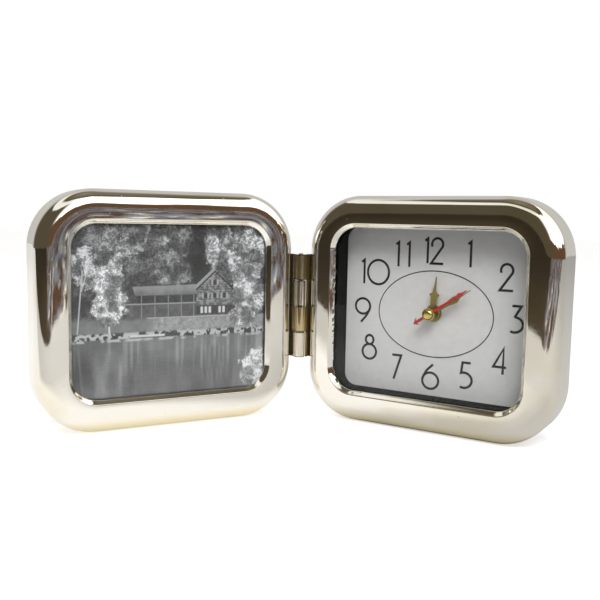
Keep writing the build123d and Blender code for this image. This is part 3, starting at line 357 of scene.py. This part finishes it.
def arc(cx, cy, rx, ry, start, end, steps=40):
    """Points of an elliptic arc round a middle, angles in degrees from the first axis to the second."""
    return [
        (cx + rx * cos(radians(start + (end - start) * k / steps)),
         cy + ry * sin(radians(start + (end - start) * k / steps)))
        for k in range(steps + 1)
    ]


def case_profile():
    """(inset, depth) all round the wall of a case: lip, bezel, shoulder, side, rim and the inside."""
    lip_top, lip_end = (CREASE_INSET, -CREASE_DROP), (WINDOW_INSET, -1.34)
    lip_steps, crown_steps = 6, 12
    edge, rim, foot = 0.09, 0.45, 0.3      # sizes of the lip's edges, the back rim and its inner edge
    profile = [(WINDOW_INSET, -FACE_THICKNESS), (WINDOW_INSET, lip_end[1] - edge)]
    profile += [(WINDOW_INSET - edge * 0.3, lip_end[1] - edge * 0.1)]
    for k in range(1, lip_steps):
        share = k / lip_steps
        bulge = 0.05 * sin(pi * share)
        profile.append((lip_end[0] + (lip_top[0] - lip_end[0]) * share - bulge * 0.7,
                        lip_end[1] + (lip_top[1] - lip_end[1]) * share + bulge))
    profile += [(lip_top[0] + edge, lip_top[1] - edge * 0.6),
                (lip_top[0] + edge * 0.3, lip_top[1] - edge * 0.1)]
    for k in range(crown_steps + 1):
        share = k / crown_steps
        inset = lip_top[0] - edge * 0.4 + (SHOULDER - lip_top[0] + edge * 0.4) * share
        profile.append((inset, -CREASE_DROP * ((inset - SHOULDER) / (CREASE_INSET - SHOULDER)) ** 2))
    profile += arc(SHOULDER, -SHOULDER - 0.1, SHOULDER, SHOULDER + 0.1, 90, 180, 26)[1:]
    profile += [(0, -CASE_DEPTH * share) for share in (0.4, 0.5, 0.6, 0.7, 0.8, 0.9)]
    profile += arc(rim, rim - CASE_DEPTH, rim, rim, 180, 270, 5)
    profile += arc(WALL - foot, foot - CASE_DEPTH, foot, foot, 270, 360, 4)
    inner = SHOULDER - WALL
    profile += arc(WALL + inner, -FACE_THICKNESS - inner, inner, inner, 180, 90, 8)
    return profile


def loft(side, profile, shift=None):
    """Points and faces of a closed profile swept round the case's outline, with x moved by shift."""
    points, faces = [], []
    for row, (inset, depth) in enumerate(profile):
        for x, y in outline(inset):
            points.append(place(side, x + (shift(row, x, y) if shift else 0), y, depth))
    around = len(points) // len(profile)
    for row in range(len(profile)):
        nxt = (row + 1) % len(profile)
        for k in range(around):
            other = (k + 1) % around
            faces.append((row * around + k, row * around + other, nxt * around + other, nxt * around + k))
    return points, faces


# --- the two cases --------------------------------------------------------------------
FLASH_ROWS = (1, 2)        # profile rows that carry the moulding flash inside the clock's window
FLASH, FLASH_REACH, FLASH_FADE = 0.6, 4.5, 3.0


def clock_flash(row, x, y):
    """Moulding flash: how far the window's edge next to the hinge is ragged inwards."""
    from_side = x + WINDOW_WIDTH / 2
    if row not in FLASH_ROWS or from_side > FLASH_REACH:
        return 0
    rough = noise.noise(Vector((0.3, y * 1.1, SEED))) + 0.6 * noise.noise(Vector((0.7, y * 3.7, SEED)))
    return FLASH * max(0.0, rough + 0.15) * min(1.0, (FLASH_REACH - from_side) / FLASH_FADE)


def build_case(side, body, node, shift=None):
    """The plated case as one swept shell."""
    points, faces = loft(side, case_profile(), shift)
    shell = piece(node + "_shell", points, faces, body, PLATE)
    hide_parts(node)


build_case(CLOCK, "clock_half", "clock_case", clock_flash)
build_case(PICTURE, "picture_half", "picture_case")


# --- the dial's print -------------------------------------------------------------------
NUMERAL_HALF = 3.8         # half the height of a numeral
NUMERAL_STROKE, OVAL_STROKE = 0.74, 0.33
OVAL = (0.05, -0.35, 18.4, 13.1)       # middle and half sizes


def digit_strokes(h):
    """The strokes of each digit, thin, with small heads and wide bowls. h is half the height."""
    return {
        "0": [arc(0, 0, 3.65, h, 90, 450, 72)],
        "1": [[(-0.95, h - 0.85), (-0.02, h - 0.1), (0, h - 0.4), (0, -h)]],
        "2": [arc(0, h - 1.8, 1.75, 1.8, 205, -46) + [(-1.9, -h), (2.0, -h)]],
        "3": [[(-1.3, h), (1.35, h), (-0.35, 0.75)] + arc(-0.45, -1.6, 2.45, h - 1.6, 82, -118)],
        "4": [[(0.85, -h), (0.9, h), (-2.0, -1.7), (1.85, -1.7)]],
        "5": [[(1.5, h), (-1.0, h), (-1.35, 0.7)] + arc(-0.45, -1.5, 2.45, h - 1.5, 112, -118)],
        "6": [arc(0, -1.3, 2.6, h - 1.3, 90, 450, 60), [(0.75, h), (-1.2, 1.9), (-2.15, 0.2), (-2.55, -0.9)]],
        "7": [[(-1.5, h - 0.15), (-1.25, h), (1.5, h), (-0.85, -h)]],
        "8": [arc(0, h - 1.45, 1.35, 1.45, 90, 450, 48), arc(0, -1.45, 2.4, h - 1.45, 90, 450, 60)],
        "9": [arc(0, 1.35, 2.55, h - 1.35, 90, 450, 60), [(-0.55, -h), (1.3, -1.6), (2.2, 0.0), (2.5, 0.9)]],
    }


# Each numeral: the place of its middle on the dial, and (digit, shift to the right) for its digits.
NUMERALS = (
    (-0.45, 18.8, (("1", -2.2), ("2", 0.85))), (10.9, 18.2, (("1", 0.0),)), (21.8, 12.05, (("2", 0.0),)),
    (25.1, 0.2, (("3", 0.0),)), (21.0, -12.4, (("4", 0.0),)), (10.7, -17.8, (("5", 0.0),)),
    (-0.4, -19.5, (("6", 0.0),)), (-11.8, -17.9, (("7", 0.0),)), (-21.4, -12.5, (("8", 0.0),)),
    (-24.1, -0.95, (("9", 0.0),)), (-20.0, 11.45, (("1", -3.9), ("0", 1.0))),
    (-10.6, 17.4, (("1", -1.6), ("1", 2.0))),
)


SAME_POINT = 1e-6
LONGEST_MITRE = 0.4        # cosine past which a mitre grows no longer


def ribbon(points, faces, line, stroke, closed):
    """Adds a flat stroke along a line on the dial, mitred at its corners."""
    count = len(line)
    base = len(points)
    for k in range(count):
        before = line[(k - 1) % count] if closed or k > 0 else None
        after = line[(k + 1) % count] if closed or k < count - 1 else None
        ways = []
        for a, b in ((before, line[k]), (line[k], after)):
            if a is not None and b is not None:
                length = hypot(b[0] - a[0], b[1] - a[1])
                ways.append(((b[0] - a[0]) / length, (b[1] - a[1]) / length))
        across = (-sum(way[1] for way in ways), sum(way[0] for way in ways))
        size = hypot(*across)
        across = (across[0] / size, across[1] / size)
        lean = abs(across[0] * -ways[0][1] + across[1] * ways[0][0])
        half = stroke / 2 / max(lean, LONGEST_MITRE)
        for way in (1, -1):
            spot = line[k][0] + way * half * across[0], line[k][1] + way * half * across[1]
            points.append(place(CLOCK, *spot, DIAL_FACE + INK_LIFT))
    for k in range(count if closed else count - 1):
        n = (k + 1) % count
        faces.append((base + 2 * k, base + 2 * k + 1, base + 2 * n + 1, base + 2 * n))


def build_dial_print():
    """Numerals and the thin oval, printed on the dial."""
    strokes = digit_strokes(NUMERAL_HALF)
    points, faces = [], []
    for x, y, digits in NUMERALS:
        for digit, shift in digits:
            for line in strokes[digit]:
                closed = hypot(line[0][0] - line[-1][0], line[0][1] - line[-1][1]) < SAME_POINT
                moved = [(x + shift + px, y + py) for px, py in (line[:-1] if closed else line)]
                ribbon(points, faces, moved, NUMERAL_STROKE, closed)
    ribbon(points, faces, arc(*OVAL, 0, 360, 120)[:-1], OVAL_STROKE, True)
    piece("dial_numerals", points, faces, "clock_half", INK, smooth=False)


build_dial_print()


# --- the picture: a generic lake with trees and a cabin ------------------------------------
# Places are millimetres from the window's middle. Tones go from 0, black, to 1, white.
GRID_X, GRID_Y = 440, 372  # vertices across and up
SHORE = -8.0
PAST_SIDES, PAST_ENDS = 0.9, 1.3       # how far the print goes past the window across, and up and down
BEHIND_LENS, PAPER = 0.08, 0.2
PRINT_TINT = (0.965, 0.985, 1.03)
rng = np.random.default_rng(SEED)


def cloud(cells, octaves=4, gain=0.55):
    """Smooth noise on the picture's grid, about 0 to 1. cells is how many patches fit across its width."""
    total, size, amount = np.zeros((GRID_Y, GRID_X)), 1.0, 0.0
    for _ in range(octaves):
        wide, high = int(cells) + 2, int(cells * GRID_Y / GRID_X) + 3
        table = rng.random((high, wide))
        gx, gy = np.linspace(0, wide - 1.001, GRID_X), np.linspace(0, high - 1.001, GRID_Y)
        ix, iy = gx.astype(int), gy.astype(int)
        fx, fy = gx - ix, gy - iy
        fx, fy = (fx * fx * (3 - 2 * fx))[None, :], (fy * fy * (3 - 2 * fy))[:, None]
        rows, below = table[iy], table[iy + 1]
        upper = rows[:, ix] * (1 - fx) + rows[:, ix + 1] * fx
        lower = below[:, ix] * (1 - fx) + below[:, ix + 1] * fx
        total += size * (upper * (1 - fy) + lower * fy)
        amount += size
        size *= gain
        cells *= 2.1
    return total / amount


def speckle():
    """Fine random grain on the picture's grid, about 0 to 1."""
    grain = rng.random((GRID_Y, GRID_X))
    for direction in (0, 1):
        grain = (np.roll(grain, 1, direction) + 2 * grain + np.roll(grain, -1, direction)) / 4
    return np.clip(0.5 + 1.6 * (grain - 0.5), 0, 1)


def smooth_step(value, low, high):
    """0 below low, 1 above high, smooth between them."""
    share = np.clip((value - low) / (high - low), 0, 1)
    return share * share * (3 - 2 * share)


def paint_over(tone, mask, new):
    """The new tone where the mask is 1, the old one where it is 0."""
    return tone * (1 - mask) + new * mask


def between(value, low, high, soft=0.12):
    """A mask from low to high with soft ends."""
    return smooth_step(value, low - soft, low + soft) * (1 - smooth_step(value, high - soft, high + soft))


def crown(x, y, cx, cy, rx, ry):
    """Mask of a leafy crown with a broken edge."""
    reach = np.hypot((x - cx) / rx, (y - cy) / ry)
    return 1 - smooth_step(reach + 0.9 * (cloud(24, 5, 0.75) - 0.5), 0.84, 0.98)


def foliage(bright, deep=0.22):
    """Tones of leaves: clumps, and single leaves that show most on the bright clumps."""
    clumps = smooth_step(cloud(19, 2), 0.3, 0.7)
    leaves = smooth_step(0.45 * cloud(60, 2) + 0.55 * speckle(), 0.36, 0.64)
    return bright * (deep + 0.32 * clumps + (0.26 + 0.34 * clumps) * leaves)


def stem(x, y, foot, top, half):
    """Mask of a thin straight trunk."""
    middle = foot[0] + (top[0] - foot[0]) * (y - foot[1]) / (top[1] - foot[1])
    return between(x, middle - half, middle + half, 0.1) * between(y, foot[1], top[1])


def cabin(x, y, tone):
    """A gabled cabin with a long low wing on a deck."""
    left, right, peak_x = 7.2, 19.0, 13.2
    floor, eaves, ridge = -1.7, 6.2, 11.4
    logs = 0.27 + 0.11 * (np.sin(y * 8.5) > 0.2) + 0.22 * smooth_step(cloud(70, 2), 0.4, 0.6)
    slope = (ridge - eaves) / (right - peak_x)
    roofline = ridge - slope * np.abs(x - peak_x)
    side_roof = between(x, left - 0.4, peak_x) * (y < roofline + 1.3) * (y > roofline)
    tone = paint_over(tone, side_roof, 0.62)
    body = between(x, left, right) * between(y, floor, 12.0) * (y < roofline)
    tone = paint_over(tone, body, logs)
    gable = between(x, left - 1.1, right + 1.0) * between(y, roofline - 0.5, roofline + 0.1, 0.1)
    tone = paint_over(tone, gable, 0.07)
    tone = paint_over(tone, between(x, left, right) * between(y, floor, 1.0), 0.1)
    for wx in (9.0, 10.3, 11.6, 14.8, 16.1):
        tone = paint_over(tone, between(x, wx - 0.42, wx + 0.42, 0.1) * between(y, floor + 0.3, 0.6), 0.85)
    for wx, wy in ((peak_x, 7.9), (10.2, 3.9), (13.2, 3.9), (16.3, 3.9)):
        shutters = between(x, wx - 1.15, wx + 1.15, 0.1) * between(y, wy - 0.85, wy + 0.85)
        tone = paint_over(tone, shutters, 0.66)
        tone = paint_over(tone, between(x, wx - 0.55, wx + 0.55, 0.1) * between(y, wy - 0.8, wy + 0.8), 0.1)
    tone = paint_over(tone, between(x, -11.0, left) * between(y, 1.9, 4.6), 0.07 + 0.16 * cloud(40, 3))
    shingles = 0.33 + 0.20 * cloud(26, 3) + 0.12 * smooth_step(y, 4.6, 7.4)
    wing_roof = between(x, -12.4 + 0.3 * (7.2 - y), left) * between(y, 4.4, 7.3 + 0.02 * x, 0.15)
    tone = paint_over(tone, wing_roof, shingles)
    deck = between(x, -14.0, left) * between(y, floor - 0.5, 1.8)
    tone = paint_over(tone, deck, 0.18 + 0.2 * cloud(50, 3))
    tone = paint_over(tone, between(x, -14.0, left) * between(y, 1.75, 2.1, 0.08), 0.62)
    posts = (np.abs((x + 7.6) % 4.03 - 2.0) < 0.13) * between(x, -11.5, left) * between(y, floor - 0.7, 4.3)
    tone = paint_over(tone, posts, 0.5)
    return paint_over(tone, between(x, -8.0, right + 1) * between(y, floor - 0.7, floor - 0.4, 0.08), 0.7)


FOREST = (                 # crowns behind the cabin: middle, half width, half height, brightness
    (-26, 21, 8, 6, 0.50), (-16, 22, 9, 6, 0.60), (-9, 19.5, 8, 6.5, 0.68), (-1.5, 20.5, 8, 7, 0.72),
    (-1, 12, 8, 5.5, 0.60), (-10, 13.0, 5, 4.5, 0.50), (22, 23, 6, 5, 0.62), (14.2, 19.7, 5.2, 8, 0.88),
    (25.5, 17.5, 7, 9, 0.86), (17.2, 12.6, 5.5, 5, 0.84), (-25.5, 13.0, 5.5, 6.5, 0.80),
)
NEAR_TREES = (             # bright crowns at the shore
    (-16.9, 13.6, 2.4, 3.8), (-19.6, 8.4, 5.0, 5.4), (-19.0, 2.0, 5.8, 5.4), (-19.4, -2.0, 3.6, 2.8),
    (23.4, 8.0, 4.8, 5.4), (24.4, 2.0, 6.4, 5.8), (22.0, -2.8, 4.8, 3.6), (28.4, 4.0, 3.0, 5.0),
)


def picture_tones(x, y):
    """Luminance of the scene at every grid point."""
    tone = foliage(0.30)
    for cx, cy, rx, ry, bright in FOREST:
        tone = paint_over(tone, crown(x, y, cx, cy, rx, ry), foliage(bright))
    shade = between(x, 4.5, 10.5, 2.5) * between(y, 9, 25, 3)
    tone = tone * (1 - 0.62 * shade)
    bank = 0.34 + 0.16 * cloud(30, 4, 0.7)
    tone = paint_over(tone, 1 - smooth_step(y, -3.2, -1.2), bank)
    lawn = 0.56 + 0.34 * (cloud(60, 3, 0.8) - 0.5)
    tone = paint_over(tone, between(y, -6.4, -2.3, 0.3) * smooth_step(x, -9, -5), lawn)
    tone = cabin(x, y, tone)
    tone = paint_over(tone, stem(x, y, (-28.3, SHORE), (-26.6, 12), 0.2), 0.72)
    tone = paint_over(tone, stem(x, y, (-26.9, 6), (-24.6, 14), 0.14), 0.8)
    tone = paint_over(tone, stem(x, y, (-19.0, SHORE), (-19.4, 3), 0.26), 0.85)
    tone = paint_over(tone, stem(x, y, (25.6, SHORE), (24.3, 2), 0.26), 0.8)
    for cx, cy, rx, ry in NEAR_TREES:
        tone = paint_over(tone, crown(x, y, cx, cy, rx, ry), foliage(0.83, 0.35))
    stones = smooth_step(cloud(52, 2, 0.6), 0.45, 0.55)
    tone = paint_over(tone, between(y, SHORE - 0.1, SHORE + 1.7, 0.4), 0.08 + 0.66 * stones)
    tone = paint_over(tone, between(x, -13.2, -2.6) * between(y, SHORE + 0.1, SHORE + 0.95, 0.1), 0.84)
    tone = paint_over(tone, between(x, -13.2, -2.6) * between(y, SHORE - 0.2, SHORE + 0.25, 0.1), 0.3)
    boat = between(x, -2.4, 2.2) * between(y, SHORE + 0.1, SHORE + 1.1 + 0.05 * (x - 1) ** 2, 0.12)
    return np.clip(paint_over(tone, boat, 0.14), 0, 1)


def with_water(x, y, tone):
    """Below the shore, the scene upside down, darkened, smeared downwards and rippled."""
    rows_mm = y[:, 0]
    mirror_y = np.clip(SHORE + (SHORE - y) * 1.1, rows_mm.min(), rows_mm.max())
    row = np.clip(np.searchsorted(rows_mm, mirror_y.ravel()).reshape(y.shape), 0, GRID_Y - 1)
    column = np.tile(np.arange(GRID_X), (GRID_Y, 1))
    flipped = tone[row, column]
    reach = 23
    smeared = np.mean([np.roll(flipped, step, 0) for step in range(-reach, reach + 1, 2)], axis=0)
    smeared = np.mean([np.roll(smeared, step, 1) for step in (-1, 0, 1)], axis=0)
    glints = smooth_step(cloud(70, 1)[GRID_Y // 2], 0.55, 0.9)[None, :] * between(y, -17, SHORE, 3)
    water = 0.10 + 0.46 * smeared + 0.14 * glints + 0.05 * (cloud(8, 2) - 0.5)
    water += 0.025 * np.sin(y * 9 + 3 * cloud(12, 2)) + 0.10 * smooth_step(x, -28, -8)
    tone = paint_over(tone, 1 - smooth_step(y, SHORE - 0.25, SHORE + 0.05), water)
    foam = between(y, SHORE - 0.8, SHORE - 0.1, 0.3) * smooth_step(cloud(30, 2), 0.5, 0.7)
    tone = paint_over(tone, foam, 0.75)
    corner = crown(x, y, 29.5, -20.5, 8.5, 8.5)
    return paint_over(tone, corner, foliage(0.84, 0.46))


def build_picture():
    """The print as a fine grid whose vertices carry the tones, with a painted shadow along the window's edge
    and one face behind it.
    """
    half_x, half_y = WINDOW_WIDTH / 2 + PAST_SIDES, WINDOW_HEIGHT / 2 + PAST_ENDS
    x, y = np.meshgrid(np.linspace(-half_x, half_x, GRID_X), np.linspace(-half_y, half_y, GRID_Y))
    tone = with_water(x, y, picture_tones(x, y))
    # Painted shadow: along the window's edge the print is darkened down to 15 % over about half a millimetre,
    # standing in for the shadow of the lip.
    inside = np.minimum(WINDOW_WIDTH / 2 - np.abs(x), WINDOW_HEIGHT / 2 - np.abs(y))
    tone = tone * (0.15 + 0.85 * smooth_step(inside, -0.3, 0.55))
    depth = LENS_BACK - BEHIND_LENS
    points = [place(PICTURE, px, py, depth) for px, py in zip(x.ravel(), y.ravel())]
    below = [place(PICTURE, px, py, depth - PAPER)
             for px, py in ((-half_x, -half_y), (half_x, -half_y), (half_x, half_y), (-half_x, half_y))]
    index = np.arange(GRID_X * GRID_Y).reshape(GRID_Y, GRID_X)
    cells = np.stack([index[:-1, :-1], index[:-1, 1:], index[1:, 1:], index[1:, :-1]], -1)
    faces = cells.reshape(-1, 4).tolist()
    base = len(points)
    faces.append([base, base + 3, base + 2, base + 1])
    sheet = piece("picture_landscape", points + below, faces, "picture_half", PRINT,
                  smooth=False)
    linear = np.clip(tone, 0, 1) ** 2.0 * 0.86 + 0.008
    colour = np.ones((len(points) + 4, 4), np.float32)
    colour[:base, :3] = linear.ravel()[:, None] * np.array(PRINT_TINT)
    attribute = sheet.data.color_attributes.new("tone", "FLOAT_COLOR", "POINT")
    attribute.data.foreach_set("color", colour.ravel())
    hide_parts("picture_print")


build_picture()


# --- studio ---------------------------------------------------------------------------------
def look_along(yaw, pitch, roll):
    """Camera axes from its turn to the right, its tilt upwards and its roll."""
    ahead = Vector((sin(yaw) * cos(pitch), cos(yaw) * cos(pitch), sin(pitch)))
    level = Vector((cos(yaw), -sin(yaw), 0))
    over = level.cross(ahead)
    right = level * cos(roll) + over * sin(roll)
    up = over * cos(roll) - level * sin(roll)
    return Matrix((right, up, -ahead)).transposed().to_4x4()


def build_camera():
    """The camera, in front of the open clock and a little above its middle."""
    data = bpy.data.cameras.new("camera")
    data.sensor_width, data.lens = 36.0, 46.788          # millimetres
    data.clip_start, data.clip_end = 0.01, 20
    camera = bpy.data.objects.new("camera", data)
    turn = look_along(radians(-2.03), radians(-5.87), radians(1.12))
    camera.matrix_world = Matrix.Translation((0.0087, AXIS_Y - 0.2473, 0.0623)) @ turn
    bpy.context.scene.collection.objects.link(camera)
    bpy.context.scene.camera = camera


def sheet_of(name, x_range, y_range, z, material, slant=0.0):
    """A level stage sheet. slant moves the left end of its far edge back and the right end forward."""
    (x0, x1), (y0, y1) = x_range, y_range
    mesh = bpy.data.meshes.new(name)
    mesh.from_pydata([(x0, y0, z), (x1, y0, z), (x1, y1 - slant, z), (x0, y1 + slant, z)], [], [(0, 1, 2, 3)])
    mesh.materials.append(material)
    made = bpy.data.objects.new(name, mesh)
    bpy.context.scene.collection.objects.link(made)
    return made


FLOOR_REACH, FLOOR_Z = 3, -0.0001
TABLE_EDGE, EDGE_SLANT, CARD_Z = -0.20, 0.4, 0.0004
BLACK_LIGHT, WHITE_LIGHT = (0, 0, 0), (1, 1, 1)


def floor_paper():
    """White paper: pure white to the camera, and in mirrors brighter close to the picture's half, where it
    glows with painted light that only mirrors see.
    """
    paint = Paint("floor_paper", Roughness=0.9, IOR=1.4)
    ray = paint.add("ShaderNodeLightPath").outputs
    parts = paint.split(paint.place)
    # Painted light: a glowing patch on the paper that only mirrors see, brightest near the clock and on the
    # picture's side.
    near = paint.ramp(parts["Y"], 0.0, 1.0, -0.09, -0.055)
    across = paint.ramp(parts["X"], 0.7, 0.0, -0.01, 0.025)
    lit = paint.mix(paint.maths("MULTIPLY", near, across), BLACK_LIGHT, (1.0, 0.99, 0.97))
    mirrored = paint.mix(ray["Is Glossy Ray"], BLACK_LIGHT, lit)
    paint.set(Base_Color=paint.mix(paint.noise(4), (0.9, 0.89, 0.87), (0.93, 0.92, 0.9)),
              Emission_Color=paint.mix(ray["Is Camera Ray"], mirrored, WHITE_LIGHT),
              Emission_Strength=0.6)
    return paint.made


def dark_floor():
    """The floor of a dark room: plain on the left, with blots and pale panes on the right, where it glows
    with painted light that only mirrors see.
    """
    paint = Paint("room_floor", Roughness=1.0, IOR=1.0)
    away = paint.add("ShaderNodeMapping", {"vector_type": "TEXTURE"}, Vector=paint.place,
                     Rotation=(0, 0, radians(-38)), Scale=(6, 1, 1)).outputs["Vector"]
    blots = paint.ramp(paint.noise(13, 4, 0.65, away), 0.0, 1.0, 0.47, 0.58)
    panes = paint.ramp(paint.noise(30, 2, 0.5, away), 0.0, 1.0, 0.60, 0.62)
    on_right = paint.ramp(paint.split(paint.place)["X"], 0.0, 1.0, -0.1, 0.0)
    clutter_colour_and_glow = paint.mix(panes, paint.mix(blots, (0.10, 0.055, 0.035), (0.28, 0.31, 0.38)),
                          (0.85, 0.83, 0.76))
    # Painted light: the right part glows in its own colour, a painted reflection of a lit room.
    paint.set(Base_Color=paint.mix(on_right, (0.09, 0.07, 0.045), clutter_colour_and_glow),
              Emission_Color=paint.mix(on_right, BLACK_LIGHT, clutter_colour_and_glow), Emission_Strength=0.35)
    return paint.made


def build_floor():
    """The paper that the clock stands on, and past its edge a dark floor that only mirrors see."""
    wide = (-FLOOR_REACH, FLOOR_REACH)
    sheet_of("floor", wide, wide, FLOOR_Z, floor_paper())
    room = sheet_of("room_floor", wide, (-FLOOR_REACH, TABLE_EDGE), CARD_Z, dark_floor(), EDGE_SLANT)
    room.visible_camera = False
    room.visible_diffuse = False
    room.visible_shadow = False
    room.visible_transmission = False


def area_light(name, spot, aim, size, watts, colour=WHITE_LIGHT):
    """A soft rectangular lamp that doesn't show in the plating."""
    lamp = bpy.data.lights.new(name, "AREA")
    lamp.shape = "RECTANGLE"
    lamp.size, lamp.size_y = size
    lamp.energy = watts
    lamp.color = colour
    made = bpy.data.objects.new(name, lamp)
    made.location = spot
    made.rotation_mode = "QUATERNION"
    made.rotation_quaternion = (Vector(aim) - Vector(spot)).to_track_quat("-Z", "Y")
    made.visible_glossy = False
    bpy.context.scene.collection.objects.link(made)


def spot_light(name, spot, angle, watts, softness):
    """A soft lamp that points straight down and doesn't show in the plating."""
    lamp = bpy.data.lights.new(name, "SPOT")
    lamp.energy = watts
    lamp.spot_size, lamp.spot_blend = angle, 1.0
    lamp.shadow_soft_size = softness
    made = bpy.data.objects.new(name, lamp)
    made.location = spot
    made.visible_glossy = False
    bpy.context.scene.collection.objects.link(made)


def room_light(nodes, where, stops):
    """A colour that changes along where, from 0 to 1."""
    ramp = nodes.add("ShaderNodeValToRGB", Fac=where)
    for number, (at, colour) in enumerate(stops):
        stop = ramp.color_ramp.elements[number] if number < 2 else ramp.color_ramp.elements.new(at)
        stop.position = at
        stop.color = (*colour, 1)
    return ramp.outputs["Color"]


def spread(nodes, value, low, high):
    """0 below low, 1 above high, smooth between them."""
    made = nodes.add("ShaderNodeMapRange", {"interpolation_type": "SMOOTHSTEP"}, Value=value)
    link_all(nodes.tree, made, {"From Min": low, "From Max": high})
    return made.outputs["Result"]


def build_world():
    """White to the camera and grey to soft light. Mirrors see a dark room in front with a lamp above it,
    and a pale backdrop behind."""
    world = bpy.data.worlds.new("studio")
    bpy.context.scene.world = world
    world.use_nodes = True
    nodes = Nodes(world.node_tree)
    way = nodes.add("ShaderNodeTexCoord").outputs["Generated"]
    parts = nodes.split(way)
    lift = nodes.maths("DIVIDE", nodes.maths("ARCSINE", parts["Z"]), pi / 2)     # 0 level, 1 overhead
    rough = nodes.add("ShaderNodeTexNoise", Vector=way, Scale=7.0, Detail=5.0, Roughness=0.6).outputs["Fac"]
    shift = nodes.maths("SUBTRACT", rough, 0.5)

    olive, brown = (0.095, 0.077, 0.050), (0.13, 0.072, 0.040)
    lamp, back, dome = (2.0, 2.0, 1.9), (0.60, 0.59, 0.57), (0.30, 0.27, 0.20)
    strip, soft = (1.0, 1.0, 0.95), (0.40, 0.40, 0.40)
    left = room_light(nodes, nodes.maths("ADD", lift, nodes.maths("MULTIPLY", shift, 0.05)), (
        (0.0, olive), (0.53, olive), (0.56, strip), (0.69, strip), (0.74, olive), (1.0, dome)))
    right = room_light(nodes, nodes.maths("ADD", lift, nodes.maths("MULTIPLY", shift, 0.3)), (
        (0.0, brown), (0.16, brown), (0.18, lamp), (0.62, lamp), (0.67, olive), (1.0, dome)))
    studio = nodes.mix(spread(nodes, parts["X"], 0.0, 0.3), left, right)
    studio = nodes.mix(spread(nodes, parts["Y"], 0.15, 0.55), studio, back)
    ray = nodes.add("ShaderNodeLightPath").outputs
    colour = nodes.mix(ray["Is Glossy Ray"], soft, studio)
    colour = nodes.mix(ray["Is Camera Ray"], colour, WHITE_LIGHT)
    nodes.tree.links.new(colour, nodes.tree.nodes["Background"].inputs["Color"])


build_camera()
build_floor()
area_light("key", (0.06, -0.42, 0.46), (0.02, -0.04, 0.03), (0.34, 0.22), 1.55, (1.0, 0.99, 0.97))
area_light("rear", (-0.2, 0.5, 0.5), (0, 0, 0.03), (0.5, 0.3), 0.8)
spot_light("pool", (-0.02, -0.06, 0.5), radians(22), 0.9, 0.03)
build_world()
bpy.context.scene.view_settings.view_transform = "Standard"
